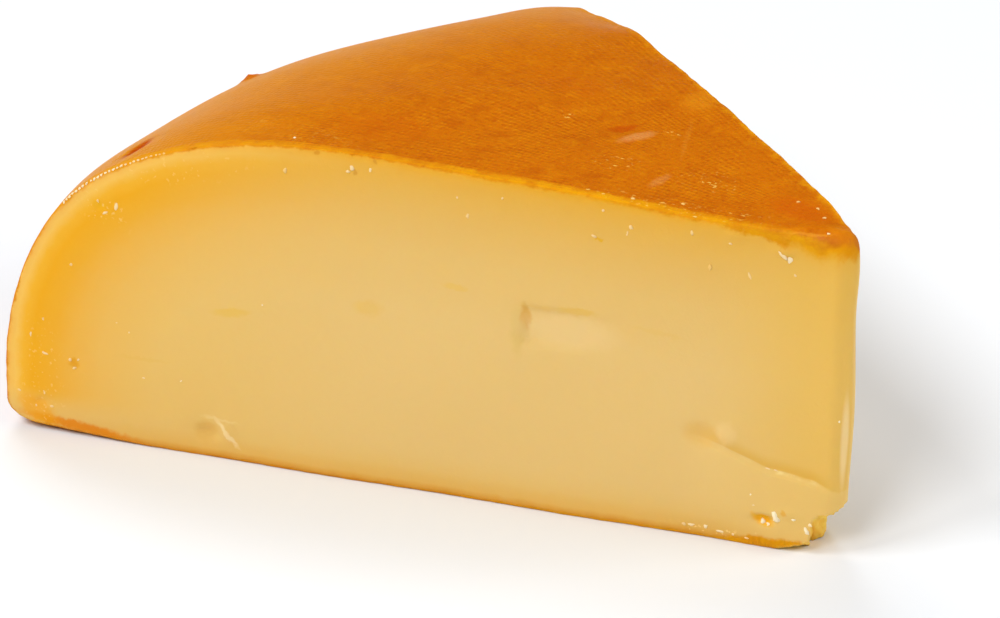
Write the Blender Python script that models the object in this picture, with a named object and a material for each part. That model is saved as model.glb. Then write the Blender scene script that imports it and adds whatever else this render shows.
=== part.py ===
"""A wedge of semi-hard cheese, about a seventh of a low round wheel, standing on its flat base.

The wheel has a wide, softly rounded upper rim and a small rounded foot. Two straight cuts run from
the rim to the middle of the wheel, where they meet in a blunt upright tip. The lowest bit of the tip
is torn away. Metres, +Z up. The tip points along +X, the rind lies towards -X, and the base rests on
z = 0.
"""

import math

import bmesh
import bpy
import numpy as np

# The wheel that the wedge was cut from
WHEEL_RADIUS = 0.1200
RIM_BULGE = 0.0016  # how much further out the rim stands midway between the cuts
WHEEL_CENTRE_X = 0.0613
TOP_HEIGHT = (0.0486, 0.0458)  # where the rounded rim begins, at the front cut and at the back cut
SHOULDER_REACH = (0.0508, 0.0570)  # how far the rounded rim reaches in from the side
TOP_SINK = (0.0021, -0.0008)  # how far the top sinks towards the middle of the wheel
SINK_SHARE = 0.8  # the sinking is spread over this share of the flat top
SHOULDER_POWER = 2.47  # 2 would be an ellipse; more is squarer
FOOT_REACH, FOOT_RISE, FOOT_POWER = 0.0090, 0.0050, 2.15

# The two cuts
WEDGE_ANGLE = math.radians(50.4)
TIP_ROUNDING = 0.0024
TIP_OVERSHOOT = 0.0023  # the cuts meet this far past the middle of the wheel
TIP_BLEND = 0.0060  # the rind's lines turn into the tip's round over this length
EDGE_ROUNDING = 0.0006
PRESSED_ROUNDING = 0.0023  # the rind is pressed over the edge beside the tip
PRESSED_LENGTH, PRESSED_BEHIND = 0.0120, 0.0060  # how far along the front cut and behind it that goes

# Slow waves of the skin and of the cuts: height, then length along X, along Y and start
RIND_WAVES = ((0.00014, 0.061, 0.043, 0.4), (0.00010, 0.034, -0.047, 2.1), (0.00006, -0.023, 0.029, 4.0))
CUT_WAVES = ((0.00008, 0.047, 0.036, 1.0), (0.00005, 0.023, -0.031, 3.2))

# Marks on the front cut: place along the cut from the middle of the wheel, height, reach along,
# reach up and how far it stands out (below zero: how deep it goes)
FRONT_MARKS = {
    "thumbed hollow": (0.0199, 0.0154, 0.0024, 0.0017, -0.00042),
    "swelling beside it": (0.0166, 0.0160, 0.0015, 0.0017, 0.00030),
    "bulge of the tip": (0.0005, 0.0190, 0.0040, 0.0120, 0.00045),
    "swelling under the pressed rind": (-0.0005, 0.0415, 0.0035, 0.0060, 0.00060),
    "lip under the rind": (0.0096, 0.0434, 0.0015, 0.0006, 0.00050),
    "second lip": (0.0160, 0.0448, 0.0014, 0.0006, 0.00040),
    "chip at the foot": (0.0900, 0.0036, 0.0020, 0.0015, -0.00040),
    "flap beside the chip": (0.0873, 0.0042, 0.0007, 0.0019, 0.00050),
    "pit": (0.0112, 0.0042, 0.0014, 0.0007, -0.00095),
}
LEDGE = (  # place along the cut, height
    (0.0225, 0.0152), (0.0181, 0.0144), (0.0130, 0.0126), (0.0108, 0.0118), (0.0078, 0.0115),
    (0.0044, 0.0111), (0.0013, 0.0101),
)
LEDGE_STEP, LEDGE_SOFTNESS, LEDGE_FADE, LEDGE_END = 0.00042, 0.0005, 0.0055, 0.0008
DRAG_DENT = (0.0259, 0.0451, 0.0244, 0.0304, 0.00030)  # along from, to, height from, to, depth
DRAG_SOFTNESS = 0.0007

# Marks on the rind: place on the plan, reach along X, reach along Y and height
RIND_MARKS = {
    "flap on the shoulder": (-0.0430, -0.0084, 0.0009, 0.0012, 0.0008),
    "slit beside the front edge": (-0.0338, -0.0384, 0.0009, 0.0024, -0.00060),
    "hollow behind the scar": (0.0176, 0.0029, 0.0011, 0.0018, -0.00045),
    "scar": (0.0204, 0.0026, 0.0011, 0.0026, 0.00025),
    "worn corner of the back edge": (-0.0170, 0.0385, 0.0060, 0.0060, -0.0007),
}

# The torn tip: its lowest part broke off under a low overhang. It left a step in the front cut, an
# upright nub behind that, and a slope under the front edge of the base. Places are to the right of the
# tip's middle and nearer than it, as seen by someone who stands at this turn from -Y.
TEAR_TURN = math.radians(44.0)
STEP_PLACE, NUB_FRONT, NUB_RIGHT = -0.0024, -0.0020, -0.0001
OVERHANG, OVERHANG_FALL, FALL_START, OVERHANG_RISE, RISE_START = 0.0062, 0.55, -0.0010, 1.05, 0.0009
STEP_SOFTNESS, NUB_SOFTNESS, OVERHANG_SOFTNESS = 0.0005, 0.0020, 0.0016
SLOPE_START, SLOPE_RISE, SLOPE_MOST, SLOPE_DEPTH = -0.0072, 0.35, 0.0018, 0.0024
HEART_OF_TIP = (0.0400, 0.0, 0.0150)  # sound cheese behind the tear, towards which the bites go

# How finely the faces are divided
SHARE_LINES = 24
TIP_STEP, STEP_GROWTH, LONGEST_STEP = 0.0008, 1.12, 0.0050
SHOULDER_LINES, SIDE_LINES, FOOT_LINES = 8, 22, 3
LOWER_SIDE = 1.5  # above 1, the lines of the sides lie closer together towards the base
EDGE_LINES = (0.0, 0.0003, 0.0009, 0.0021)
MIDDLE_OF_SHOULDER, MIDDLE_OF_FOOT, END_OF_FOOT = 1.5, 2.6, 3.0  # places along the rind's run

HALF_ANGLE = WEDGE_ANGLE / 2
CUT_OFFSET = TIP_OVERSHOOT * math.sin(HALF_ANGLE)  # each cut passes the wheel's axis this far outside
TIP_CENTRE_X = WHEEL_CENTRE_X + TIP_OVERSHOOT - TIP_ROUNDING / math.sin(HALF_ANGLE)
TIP_ALONG = TIP_ROUNDING / math.tan(HALF_ANGLE) - TIP_OVERSHOOT * math.cos(HALF_ANGLE)
TIP_RADIUS = math.hypot(TIP_ALONG, CUT_OFFSET)  # where the flat cuts turn into the tip's round
FRONT = -1  # the cut on the -Y side


def mixed(pair, share):
    """A size that changes evenly from the front cut (share 0) to the back cut (share 1)."""
    return pair[0] + (pair[1] - pair[0]) * share


def smooth_step(value):
    value = np.clip(value, 0, 1)
    return value * value * (3 - 2 * value)


def bell(*offsets):
    """1 in the middle and nothing a little past one reach away."""
    return np.exp(-1.2 * sum(offset * offset for offset in offsets))


def rim_radius(share):
    return WHEEL_RADIUS + RIM_BULGE * 4 * share * (1 - share)


def turn_limits(radius):
    """The angles about the wheel's axis, from -X, at which a circle meets the two cuts."""
    reach = HALF_ANGLE + np.arcsin(np.clip(CUT_OFFSET / np.maximum(radius, CUT_OFFSET), 0, 1))
    return -reach, reach


def rind_profile(share, run):
    """Radius and height of the wheel's outline. The run goes from the tip over the flat top (0 to
    1), down the shoulder (1 to 2) and round the foot (2 to 3); each bend is part of a superellipse."""
    radius = rim_radius(share)
    reach, top = mixed(SHOULDER_REACH, share), mixed(TOP_HEIGHT, share)
    flat = radius - reach
    inward = 1 - np.clip(run, 0, 1) * (1 - TIP_RADIUS / flat) - TIP_RADIUS / flat
    bend = np.clip(run - 1, 0, 1) * math.pi / 2
    tuck = np.clip(run - 2, 0, 1) * math.pi / 2
    out = np.sin(bend) ** (2 / SHOULDER_POWER)
    up = np.clip(np.cos(bend), 0, 1) ** (2 / SHOULDER_POWER)
    under = 1 - np.clip(np.cos(tuck), 0, 1) ** (2 / FOOT_POWER)
    drop = np.sin(tuck) ** (2 / FOOT_POWER)
    sink = mixed(TOP_SINK, share) * smooth_step(inward / SINK_SHARE)
    return (
        flat * (1 - inward) + reach * out - FOOT_REACH * under,
        FOOT_RISE + (top - FOOT_RISE) * up - sink - FOOT_RISE * drop,
    )


def on_wheel(share, radius, height):
    """The point at that share of the way from the front cut to the back cut. Close to the tip the
    circle about the wheel's axis gives way to the tip's own round."""
    first, last = turn_limits(radius)
    turn = first + (last - first) * share
    x, y = WHEEL_CENTRE_X - radius * np.cos(turn), radius * np.sin(turn)
    first, last = turn_limits(TIP_RADIUS)
    turn = first + (last - first) * share
    swing = (share - 0.5) * (math.pi - WEDGE_ANGLE)
    near = np.clip(1 - (radius - TIP_RADIUS) / TIP_BLEND, 0, 1) ** 2
    x = x + near * (TIP_CENTRE_X + TIP_ROUNDING * np.cos(swing) - WHEEL_CENTRE_X + TIP_RADIUS * np.cos(turn))
    y = y + near * (TIP_ROUNDING * np.sin(swing) - TIP_RADIUS * np.sin(turn))
    return np.stack(np.broadcast_arrays(x, y, height), axis=-1)


def share_of(points):
    """How far round a point lies from the front cut (0) to the back cut (1)."""
    x, y = WHEEL_CENTRE_X - points[:, 0], points[:, 1]
    first, last = turn_limits(np.hypot(x, y))
    return np.clip((np.arctan2(y, x) - first) / (last - first), 0, 1)


def rind_distance(points):
    """How far a point stands outside the uncut wheel; below zero inside it."""
    share = share_of(points)
    radius, height = np.hypot(WHEEL_CENTRE_X - points[:, 0], points[:, 1]), points[:, 2]
    rim, reach, top = rim_radius(share), mixed(SHOULDER_REACH, share), mixed(TOP_HEIGHT, share)

    def bend(out, up, long, tall, power):
        out, up = np.clip(out / long, 1e-6, None), np.clip(up / tall, 1e-6, None)
        size = (out**power + up**power) ** (1 / power)
        slope = np.hypot((out / size) ** (power - 1) / long, (up / size) ** (power - 1) / tall)
        return (size - 1) / slope

    inward = 1 - radius / (rim - reach)
    level = height - top + mixed(TOP_SINK, share) * smooth_step(inward / SINK_SHARE)
    shoulder = bend(radius - rim + reach, height - FOOT_RISE, reach, top - FOOT_RISE, SHOULDER_POWER)
    upper = np.where(inward > 0, level, shoulder)
    foot = bend(radius - rim + FOOT_REACH, FOOT_RISE - height, FOOT_REACH, FOOT_RISE, FOOT_POWER)
    lower = np.where(radius < rim - FOOT_REACH, -height, foot)
    middle = FOOT_RISE * 2
    return np.where(height > middle, upper, np.where(height > FOOT_RISE, np.maximum(upper, -height), lower))


def cuts_distance(points):
    """How far a point stands outside the two cuts and the round of the tip where they meet."""
    x, y = points[:, 0] - TIP_CENTRE_X, points[:, 1]
    flat = (points[:, 0] - WHEEL_CENTRE_X) * math.sin(HALF_ANGLE) + np.abs(y) * math.cos(HALF_ANGLE)
    on_round = np.abs(np.arctan2(y, x)) < math.pi / 2 - HALF_ANGLE
    return np.where(on_round, np.hypot(x, y) - TIP_ROUNDING, flat - CUT_OFFSET)


def cut_place(points, side):
    """Place along a cut from the middle of the wheel, and how far behind the cut's face."""
    x, y = points[:, 0] - WHEEL_CENTRE_X, points[:, 1] * side
    along = -x * math.cos(HALF_ANGLE) + y * math.sin(HALF_ANGLE)
    return along, CUT_OFFSET - x * math.sin(HALF_ANGLE) - y * math.cos(HALF_ANGLE)


def edge_rounding(points):
    """The edges are all but sharp, except where the rind is pressed over them beside the tip."""
    along, behind = cut_place(points, FRONT)
    pressed = smooth_step(1.6 - 1.6 * along / PRESSED_LENGTH) * smooth_step(1.9 - behind / PRESSED_BEHIND)
    pressed = pressed * smooth_step(points[:, 2] / TOP_HEIGHT[0] * 4 - 2)
    return EDGE_ROUNDING + (PRESSED_ROUNDING - EDGE_ROUNDING) * pressed


def join_rounded(first, second, rounding):
    """The distance outside both faces, with the edge between them turned to a round."""
    inside = np.minimum(np.maximum(first, second), -rounding)
    return inside + np.hypot(np.maximum(first + rounding, 0), np.maximum(second + rounding, 0))


def lesser(first, second, softness):
    """The lesser of two distances, with the corner where they meet turned to a round."""
    share = np.clip(0.5 + 0.5 * (second - first) / softness, 0, 1)
    return second + (first - second) * share - softness * share * (1 - share)


def bite_depth(points):
    """How deep a point lies inside what broke off the tip; below zero outside. It is what lies right
    of the step and before the nub, or right of the nub, and under the overhang."""
    x, y, height = points[:, 0] - TIP_CENTRE_X, points[:, 1], points[:, 2]
    right = x * math.cos(TEAR_TURN) + y * math.sin(TEAR_TURN)
    nearer = x * math.sin(TEAR_TURN) - y * math.cos(TEAR_TURN)
    recess = lesser(right - STEP_PLACE, nearer - NUB_FRONT, STEP_SOFTNESS)
    broken = -lesser(-recess, NUB_RIGHT - right, NUB_SOFTNESS)
    overhang = OVERHANG + OVERHANG_FALL * np.minimum(nearer - FALL_START, 0)
    overhang = overhang + OVERHANG_RISE * np.maximum(right - RISE_START, 0)
    broken = lesser(broken, overhang - height, OVERHANG_SOFTNESS)
    rise = np.clip(SLOPE_RISE * (right - SLOPE_START), 0, SLOPE_MOST)
    sloped = rise * (1 - cut_place(points, FRONT)[1] / SLOPE_DEPTH) - height
    return np.maximum(broken, sloped)


def torn(points, halvings=24):
    """Each point inside a bite moves straight towards the heart of the tip until it is just out."""
    way = HEART_OF_TIP - points
    near, far = np.zeros(len(points)), np.ones(len(points))
    for _ in range(halvings):
        middle = (near + far) / 2
        inside = bite_depth(points + middle[:, None] * way) > 0
        near, far = np.where(inside, middle, near), np.where(inside, far, middle)
    return np.where(bite_depth(points)[:, None] > 0, points + far[:, None] * way, points)


def waves(points, table):
    x, y = points[:, 0], points[:, 1] + points[:, 2]
    return sum(rise * np.sin(x * math.tau / long + y * math.tau / wide + start) for rise, long, wide, start in table)


def front_marks(points):
    """How far the front cut stands out: lips, hollows, the ledge and the dent the knife dragged."""
    along, behind = cut_place(points, FRONT)
    height = points[:, 2]
    total = np.zeros(len(points))
    for place, level, long, tall, rise in FRONT_MARKS.values():
        total += rise * bell((along - place) / long, (height - level) / tall)
    places, levels = zip(*reversed(LEDGE))
    below = np.interp(along, places, levels) - height
    fade = smooth_step(below / LEDGE_SOFTNESS) * smooth_step(1 - below / (3 * LEDGE_FADE))
    ends = smooth_step((LEDGE[0][0] - along) / LEDGE_FADE) * smooth_step(1.6 - behind / LEDGE_END)
    total += LEDGE_STEP * fade * ends
    start, end, low, high, depth = DRAG_DENT
    across = smooth_step((end - along) / DRAG_SOFTNESS) * smooth_step((along - start) / (end - start))
    within = smooth_step((height - low) / DRAG_SOFTNESS) * smooth_step((high - height) / DRAG_SOFTNESS)
    total -= depth * across * within
    return total * smooth_step(2 - np.abs(behind) / TIP_ROUNDING)


def rind_marks(points):
    total = np.zeros(len(points))
    for x, y, long, wide, rise in RIND_MARKS.values():
        total += rise * bell((points[:, 0] - x) / long, (points[:, 1] - y) / wide)
    return total * smooth_step(points[:, 2] / FOOT_RISE - 3)


def body_distance(points):
    """How far a point stands outside the wedge before its tip tore: the wheel, the cuts, and every
    wave and mark. The flat base has none of them."""
    rind, cuts = rind_distance(points), cuts_distance(points)
    off_base = smooth_step(points[:, 2] / (FOOT_RISE / 2))
    rind = rind - off_base * (waves(points, RIND_WAVES) + rind_marks(points))
    cuts = cuts - waves(points, CUT_WAVES) - front_marks(points)
    return join_rounded(rind, cuts, edge_rounding(points))


def drawn_to_form(points, rounds=6, reach=1e-5, gentlest=0.25, longest=0.002):
    """Moves each point straight onto the wedge's surface, by the slope of the distance there. The
    slope is measured over a small reach, and no round moves a point further than the longest."""
    for _ in range(rounds):
        away = body_distance(points)
        slope = np.stack([
            (body_distance(points + step) - body_distance(points - step)) / (2 * reach)
            for step in np.eye(3) * reach
        ], axis=-1)
        steepness = np.maximum((slope**2).sum(-1), gentlest)
        points = points - np.clip(away / steepness, -longest, longest)[:, None] * slope
    return np.maximum(points, (-np.inf, -np.inf, 0))


def shares(width):
    """Shares from 0 to 1 with lines at fixed distances from both edges and the rest spread evenly."""
    even = np.linspace(0, 1, SHARE_LINES + 1)
    held = np.minimum(np.array(EDGE_LINES) / width, even[: len(EDGE_LINES)])
    inner = np.linspace(held[-1], 1 - held[-1], SHARE_LINES + 3 - 2 * len(EDGE_LINES))
    return np.concatenate([held[:-1], inner, 1 - held[-2::-1]])


def graded(length):
    """Distances from 0 to length that start at the tip's step and grow to the longest one."""
    stops, step = [0.0], TIP_STEP
    while stops[-1] + step < length:
        stops.append(stops[-1] + step)
        step = min(step * STEP_GROWTH, LONGEST_STEP)
    return np.array(stops) * length / stops[-1]


def run_stops():
    """The run's stops over the top and half the shoulder, down the side, and round the foot."""
    flat = WHEEL_RADIUS - SHOULDER_REACH[0] - TIP_RADIUS
    over = np.concatenate([
        graded(flat) / flat,
        np.linspace(1, MIDDLE_OF_SHOULDER, SHOULDER_LINES + 1)[1:],
    ])
    down = 1 - (1 - np.linspace(0, 1, SIDE_LINES + 1)) ** LOWER_SIDE
    side = MIDDLE_OF_SHOULDER + (MIDDLE_OF_FOOT - MIDDLE_OF_SHOULDER) * down
    foot = np.linspace(MIDDLE_OF_FOOT, END_OF_FOOT, FOOT_LINES + 1)
    return over, side, foot


def rind_grid(over, side, foot):
    """Rows run from the front cut to the back cut, one for each stop of the run."""
    rows = []
    for run in np.concatenate([over, side[1:], foot[1:]]):
        radius, _ = rind_profile(0.5, run)
        share = shares(2 * radius * turn_limits(radius)[1])
        rows.append(on_wheel(share, *rind_profile(share, run)))
    return np.array(rows)


def tip_grid(top, levels):
    """The round of the tip, from its upper row down to the base; levels are shares of the height."""
    grid = np.repeat(top[None], len(levels), axis=0)
    grid[:, :, 2] *= levels[:, None]
    return grid


def cut_grid(edge_over, edge_side, bottom, tip):
    """A cut's face, filled from its four sides: the rind's edge over the top, the rind's edge down
    the side, the bottom edge and the tip. Each point is the sum of the two straight blends
    between facing sides less the blend of the four corners."""
    across = np.linspace(0, 1, len(bottom))[:, None, None]
    up = np.linspace(0, 1, len(tip))[None, :, None]
    sides = (1 - up) * bottom[:, None] + up * edge_over[:, None]
    sides = sides + (1 - across) * tip[None] + across * edge_side[None]
    lower = (1 - across) * bottom[0] + across * bottom[-1]
    upper = (1 - across) * edge_over[0] + across * edge_over[-1]
    return sides - (1 - up) * lower - up * upper


def base_grid(count):
    """Rows on the flat base run from the front cut to the back cut, from the tip to the foot."""
    reach = rim_radius(0.5) - FOOT_REACH - TIP_RADIUS
    stops = graded(reach) / reach
    rows = []
    for part in np.interp(np.linspace(0, 1, count), np.linspace(0, 1, len(stops)), stops):
        radius = TIP_RADIUS + part * reach
        share = shares(2 * radius * turn_limits(radius)[1])
        rows.append(on_wheel(share, radius + part * (rim_radius(share) - rim_radius(0.5)), 0.0))
    return np.array(rows)


def grid_faces(grid):
    """The quads of a grid of points."""
    rows, columns = grid.shape[:2]
    number = np.arange(rows * columns).reshape(rows, columns)
    corners = number[:-1, :-1], number[1:, :-1], number[1:, 1:], number[:-1, 1:]
    return np.stack([corner.ravel() for corner in corners], axis=-1)


def wedge_surface():
    """The points and quads of the whole wedge: the rind, the tip, the base and the two cuts."""
    over, side, foot = run_stops()
    rind = rind_grid(over, side, foot)
    last_over, last_side = len(over) - 1, len(over) + len(side) - 2
    tip = tip_grid(rind[0], (1 - np.linspace(0, 1, len(side))) ** LOWER_SIDE)
    base = base_grid(len(over) - len(foot) + 1)
    patches = [rind, tip, base]
    for column in (0, -1):
        bottom = np.concatenate([base[:, column], rind[last_side:-1, column][::-1]])
        up_side = rind[last_over:last_side + 1, column][::-1]
        patches.append(cut_grid(rind[: last_over + 1, column], up_side, bottom, tip[::-1, column]))
    points, quads, start = [], [], 0
    for patch in patches:
        points.append(patch.reshape(-1, 3))
        quads.append(grid_faces(patch) + start)
        start += len(points[-1])
    return np.concatenate(points), np.concatenate(quads)


def wedge_mesh(name):
    points, quads = wedge_surface()
    points = torn(drawn_to_form(points))
    mesh = bpy.data.meshes.new(name)
    mesh.from_pydata(points.tolist(), [], quads.tolist())
    work = bmesh.new()
    work.from_mesh(mesh)
    bmesh.ops.remove_doubles(work, verts=work.verts, dist=2e-6)
    bmesh.ops.dissolve_degenerate(work, edges=work.edges, dist=2e-6)
    bmesh.ops.recalc_face_normals(work, faces=work.faces)
    work.to_mesh(mesh)
    work.free()
    mesh.shade_smooth()
    mesh.set_sharp_from_angle(angle=math.radians(40))
    return mesh


def rind_material():
    """The cheese's skin and paste share one plain finish here: a waxy golden yellow."""
    material = bpy.data.materials.new("cheese")
    material.use_nodes = True
    shader = material.node_tree.nodes["Principled BSDF"]
    shader.inputs["Base Color"].default_value = (0.75, 0.40, 0.07, 1)
    shader.inputs["Roughness"].default_value = 0.42
    shader.inputs["Metallic"].default_value = 0
    return material


for thing in list(bpy.data.objects):
    bpy.data.objects.remove(thing)
wedge = bpy.data.objects.new("cheese_wedge", wedge_mesh("cheese_wedge"))
wedge.data.materials.append(rind_material())
bpy.context.scene.collection.objects.link(wedge)
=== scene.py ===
# A wedge of orange-rinded cheese on a white studio floor, seen from in front of its cut face.
import math

import bmesh
import bpy
import numpy as np
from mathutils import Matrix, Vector


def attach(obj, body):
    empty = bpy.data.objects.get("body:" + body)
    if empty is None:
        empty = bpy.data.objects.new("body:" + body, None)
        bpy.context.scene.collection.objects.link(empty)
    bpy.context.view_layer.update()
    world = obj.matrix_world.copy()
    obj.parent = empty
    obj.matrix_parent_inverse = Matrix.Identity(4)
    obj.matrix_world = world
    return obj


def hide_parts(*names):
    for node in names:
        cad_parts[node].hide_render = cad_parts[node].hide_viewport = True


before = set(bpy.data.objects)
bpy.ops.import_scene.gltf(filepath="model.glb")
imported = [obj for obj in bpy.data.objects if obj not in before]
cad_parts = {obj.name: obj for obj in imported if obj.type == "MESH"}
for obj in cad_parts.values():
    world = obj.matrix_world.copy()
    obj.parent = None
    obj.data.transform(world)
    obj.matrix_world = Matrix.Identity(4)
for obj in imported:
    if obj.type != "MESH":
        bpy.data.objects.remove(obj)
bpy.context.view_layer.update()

# ---------------------------------------------------------------------------------------------
# Camera: a long lens in front of the cut face, a little to its right, looking down on the wedge.

CAMERA_TURN, CAMERA_RISE = math.radians(43.97), math.radians(26.08)
CAMERA_DISTANCE = 0.6074
CAMERA_TARGET = Vector((0.00455, -0.00687, 0.01943))
CAMERA_LENS, CAMERA_SENSOR = 160.2, 36.0

toward = Vector((
    -math.sin(CAMERA_TURN) * math.cos(CAMERA_RISE),
    math.cos(CAMERA_TURN) * math.cos(CAMERA_RISE),
    -math.sin(CAMERA_RISE),
))
camera = bpy.data.objects.new("camera", bpy.data.cameras.new("camera"))
camera.data.lens = CAMERA_LENS
camera.data.sensor_width = CAMERA_SENSOR
camera.location = CAMERA_TARGET - CAMERA_DISTANCE * toward
camera.rotation_euler = toward.to_track_quat("-Z", "Y").to_euler()
bpy.context.scene.collection.objects.link(camera)
bpy.context.scene.camera = camera

# ---------------------------------------------------------------------------------------------
# The wheel: a low round cheese with a wide soft shoulder and a small foot. Its outline is made of
# superellipses, whose sizes change a little from the front cut to the back cut, and the base rises a
# little towards the rim. Millimetres.

WHEEL_RADIUS, RIM_BULGE, WHEEL_CENTRE_X = 120.0, 1.6, 61.3
TOP_HEIGHT, SHOULDER_REACH, TOP_SINK = (48.6, 45.8), (50.8, 57.0), (2.1, -0.8)
SINK_SHARE, SHOULDER_POWER = 0.8, 2.47
FOOT_REACH, FOOT_RISE, FOOT_POWER = 5.5, 4.6, 2.4
RIM_LIFT, LIFT_REACH = 1.0, 26.0
RIND_WAVES = ((0.14, 61, 43, 0.4), (0.10, 34, -47, 2.1), (0.06, -23, 29, 4.0))


def mixed(pair, share):
    """A size that changes evenly from the front cut (share 0) to the back cut (share 1)."""
    return pair[0] + (pair[1] - pair[0]) * share


def smooth_step(value):
    """0 below 0, 1 above 1, and 3v^2 - 2v^3 between them."""
    value = np.clip(value, 0, 1)
    return value * value * (3 - 2 * value)


def rim_radius(share):
    """The wheel's radius, a little greater halfway between the cuts."""
    return WHEEL_RADIUS + RIM_BULGE * 4 * share * (1 - share)


# ---------------------------------------------------------------------------------------------
# The two cuts: straight knife cuts that meet past the wheel's middle in a blunt upright tip.

HALF_ANGLE = math.radians(50.4) / 2
TIP_ROUNDING, TIP_OVERSHOOT, TIP_BLEND = 2.4, 2.3, 6.0
EDGE_ROUNDING, PRESSED_ROUNDING = 0.3, 2.3
PRESSED_LENGTH, PRESSED_BEHIND, PRESSED_OVER = 12.0, 3.6, 2.6
PRESSED_BESIDE, PRESSED_FADE, PRESSED_OVER_BESIDE = 19.0, 9.0, 1.4
PRESSED_LUMPS, PRESSED_GRAIN = 2.2, 0.9
CUT_OFFSET = TIP_OVERSHOOT * math.sin(HALF_ANGLE)
TIP_CENTRE_X = WHEEL_CENTRE_X + TIP_OVERSHOOT - TIP_ROUNDING / math.sin(HALF_ANGLE)
TIP_ALONG = TIP_ROUNDING / math.tan(HALF_ANGLE) - TIP_OVERSHOOT * math.cos(HALF_ANGLE)
TIP_RADIUS = math.hypot(TIP_ALONG, CUT_OFFSET)
CUT_WAVES = ((0.08, 47, 36, 1.0), (0.05, 23, -31, 3.2))
FRONT, BACK = -1, 1


def turn_limits(radius):
    """The angles about the wheel's axis, from -X, at which a circle meets the two cuts."""
    reach = HALF_ANGLE + np.arcsin(np.clip(CUT_OFFSET / np.maximum(radius, CUT_OFFSET), 0, 1))
    return -reach, reach


def rind_profile(share, run):
    """Radius and height of the wheel's outline. The run goes from the tip over the flat top (0 to
    1), down the shoulder (1 to 2) and round the foot (2 to 3); each bend is part of a superellipse."""
    radius = rim_radius(share)
    reach, top = mixed(SHOULDER_REACH, share), mixed(TOP_HEIGHT, share)
    flat = radius - reach
    inward = 1 - np.clip(run, 0, 1) * (1 - TIP_RADIUS / flat) - TIP_RADIUS / flat
    bend = np.clip(run - 1, 0, 1) * math.pi / 2
    tuck = np.clip(run - 2, 0, 1) * math.pi / 2
    out = np.sin(bend) ** (2 / SHOULDER_POWER)
    up = np.clip(np.cos(bend), 0, 1) ** (2 / SHOULDER_POWER)
    under = 1 - np.clip(np.cos(tuck), 0, 1) ** (2 / FOOT_POWER)
    drop = np.sin(tuck) ** (2 / FOOT_POWER)
    sink = mixed(TOP_SINK, share) * smooth_step(inward / SINK_SHARE)
    return (
        flat * (1 - inward) + reach * out - FOOT_REACH * under,
        FOOT_RISE + (top - FOOT_RISE) * up - sink - FOOT_RISE * drop,
    )


def on_wheel(share, radius, height):
    """The point at that share of the way from the front cut to the back cut. Close to the tip the
    circle about the wheel's axis gives way to the tip's own round."""
    first, last = turn_limits(radius)
    turn = first + (last - first) * share
    x, y = WHEEL_CENTRE_X - radius * np.cos(turn), radius * np.sin(turn)
    first, last = turn_limits(TIP_RADIUS)
    turn = first + (last - first) * share
    swing = (share - 0.5) * (math.pi - 2 * HALF_ANGLE)
    near = np.clip(1 - (radius - TIP_RADIUS) / TIP_BLEND, 0, 1) ** 2
    x = x + near * (TIP_CENTRE_X + TIP_ROUNDING * np.cos(swing) - WHEEL_CENTRE_X + TIP_RADIUS * np.cos(turn))
    y = y + near * (TIP_ROUNDING * np.sin(swing) - TIP_RADIUS * np.sin(turn))
    return np.stack(np.broadcast_arrays(x, y, height), axis=-1)


def share_of(points):
    """How far round a point lies from the front cut (0) to the back cut (1)."""
    x, y = WHEEL_CENTRE_X - points[:, 0], points[:, 1]
    first, last = turn_limits(np.hypot(x, y))
    return np.clip((np.arctan2(y, x) - first) / (last - first), 0, 1)


def rind_distances(points):
    """How far a point stands outside the wheel's top and side, and outside its foot and base."""
    share = share_of(points)
    radius, height = np.hypot(WHEEL_CENTRE_X - points[:, 0], points[:, 1]), points[:, 2]
    rim, reach, top = rim_radius(share), mixed(SHOULDER_REACH, share), mixed(TOP_HEIGHT, share)

    def bend(out, up, long, tall, power):
        """About how far (out, up) lies outside a rounded corner of that length and height: its size
        less 1, over the slope there."""
        out, up = np.clip(out / long, 1e-6, None), np.clip(up / tall, 1e-6, None)
        size = (out**power + up**power) ** (1 / power)
        slope = np.hypot((out / size) ** (power - 1) / long, (up / size) ** (power - 1) / tall)
        return (size - 1) / slope

    inward = 1 - radius / (rim - reach)
    level = height - top + mixed(TOP_SINK, share) * smooth_step(inward / SINK_SHARE)
    shoulder = bend(radius - rim + reach, height - FOOT_RISE, reach, top - FOOT_RISE, SHOULDER_POWER)
    lift = RIM_LIFT * smooth_step((radius - rim) / LIFT_REACH + 1)
    foot = bend(radius - rim + FOOT_REACH, FOOT_RISE - height, FOOT_REACH, FOOT_RISE - lift, FOOT_POWER)
    lower = np.where((radius < rim - FOOT_REACH) | (height > FOOT_RISE), lift - height, foot)
    return np.where(inward > 0, level, shoulder), lower


def rind_distance(points):
    """How far a point stands outside the uncut wheel; below zero inside it."""
    upper, lower = rind_distances(points)
    by_foot = np.where(points[:, 2] > FOOT_RISE, np.maximum(upper, lower), lower)
    return np.where(points[:, 2] > 2 * FOOT_RISE, upper, by_foot)


def cuts_distance(points):
    """How far a point stands outside the two cuts and the round of the tip where they meet."""
    x, y = points[:, 0] - TIP_CENTRE_X, points[:, 1]
    flat = (points[:, 0] - WHEEL_CENTRE_X) * math.sin(HALF_ANGLE) + np.abs(y) * math.cos(HALF_ANGLE)
    on_round = np.abs(np.arctan2(y, x)) < math.pi / 2 - HALF_ANGLE
    return np.where(on_round, np.hypot(x, y) - TIP_ROUNDING, flat - CUT_OFFSET)


def cut_place(points, side):
    """Place along a cut from the middle of the wheel, and how far behind the cut's face."""
    x, y = points[:, 0] - WHEEL_CENTRE_X, points[:, 1] * side
    along = -x * math.cos(HALF_ANGLE) + y * math.sin(HALF_ANGLE)
    return along, CUT_OFFSET - x * math.sin(HALF_ANGLE) - y * math.cos(HALF_ANGLE)


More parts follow.
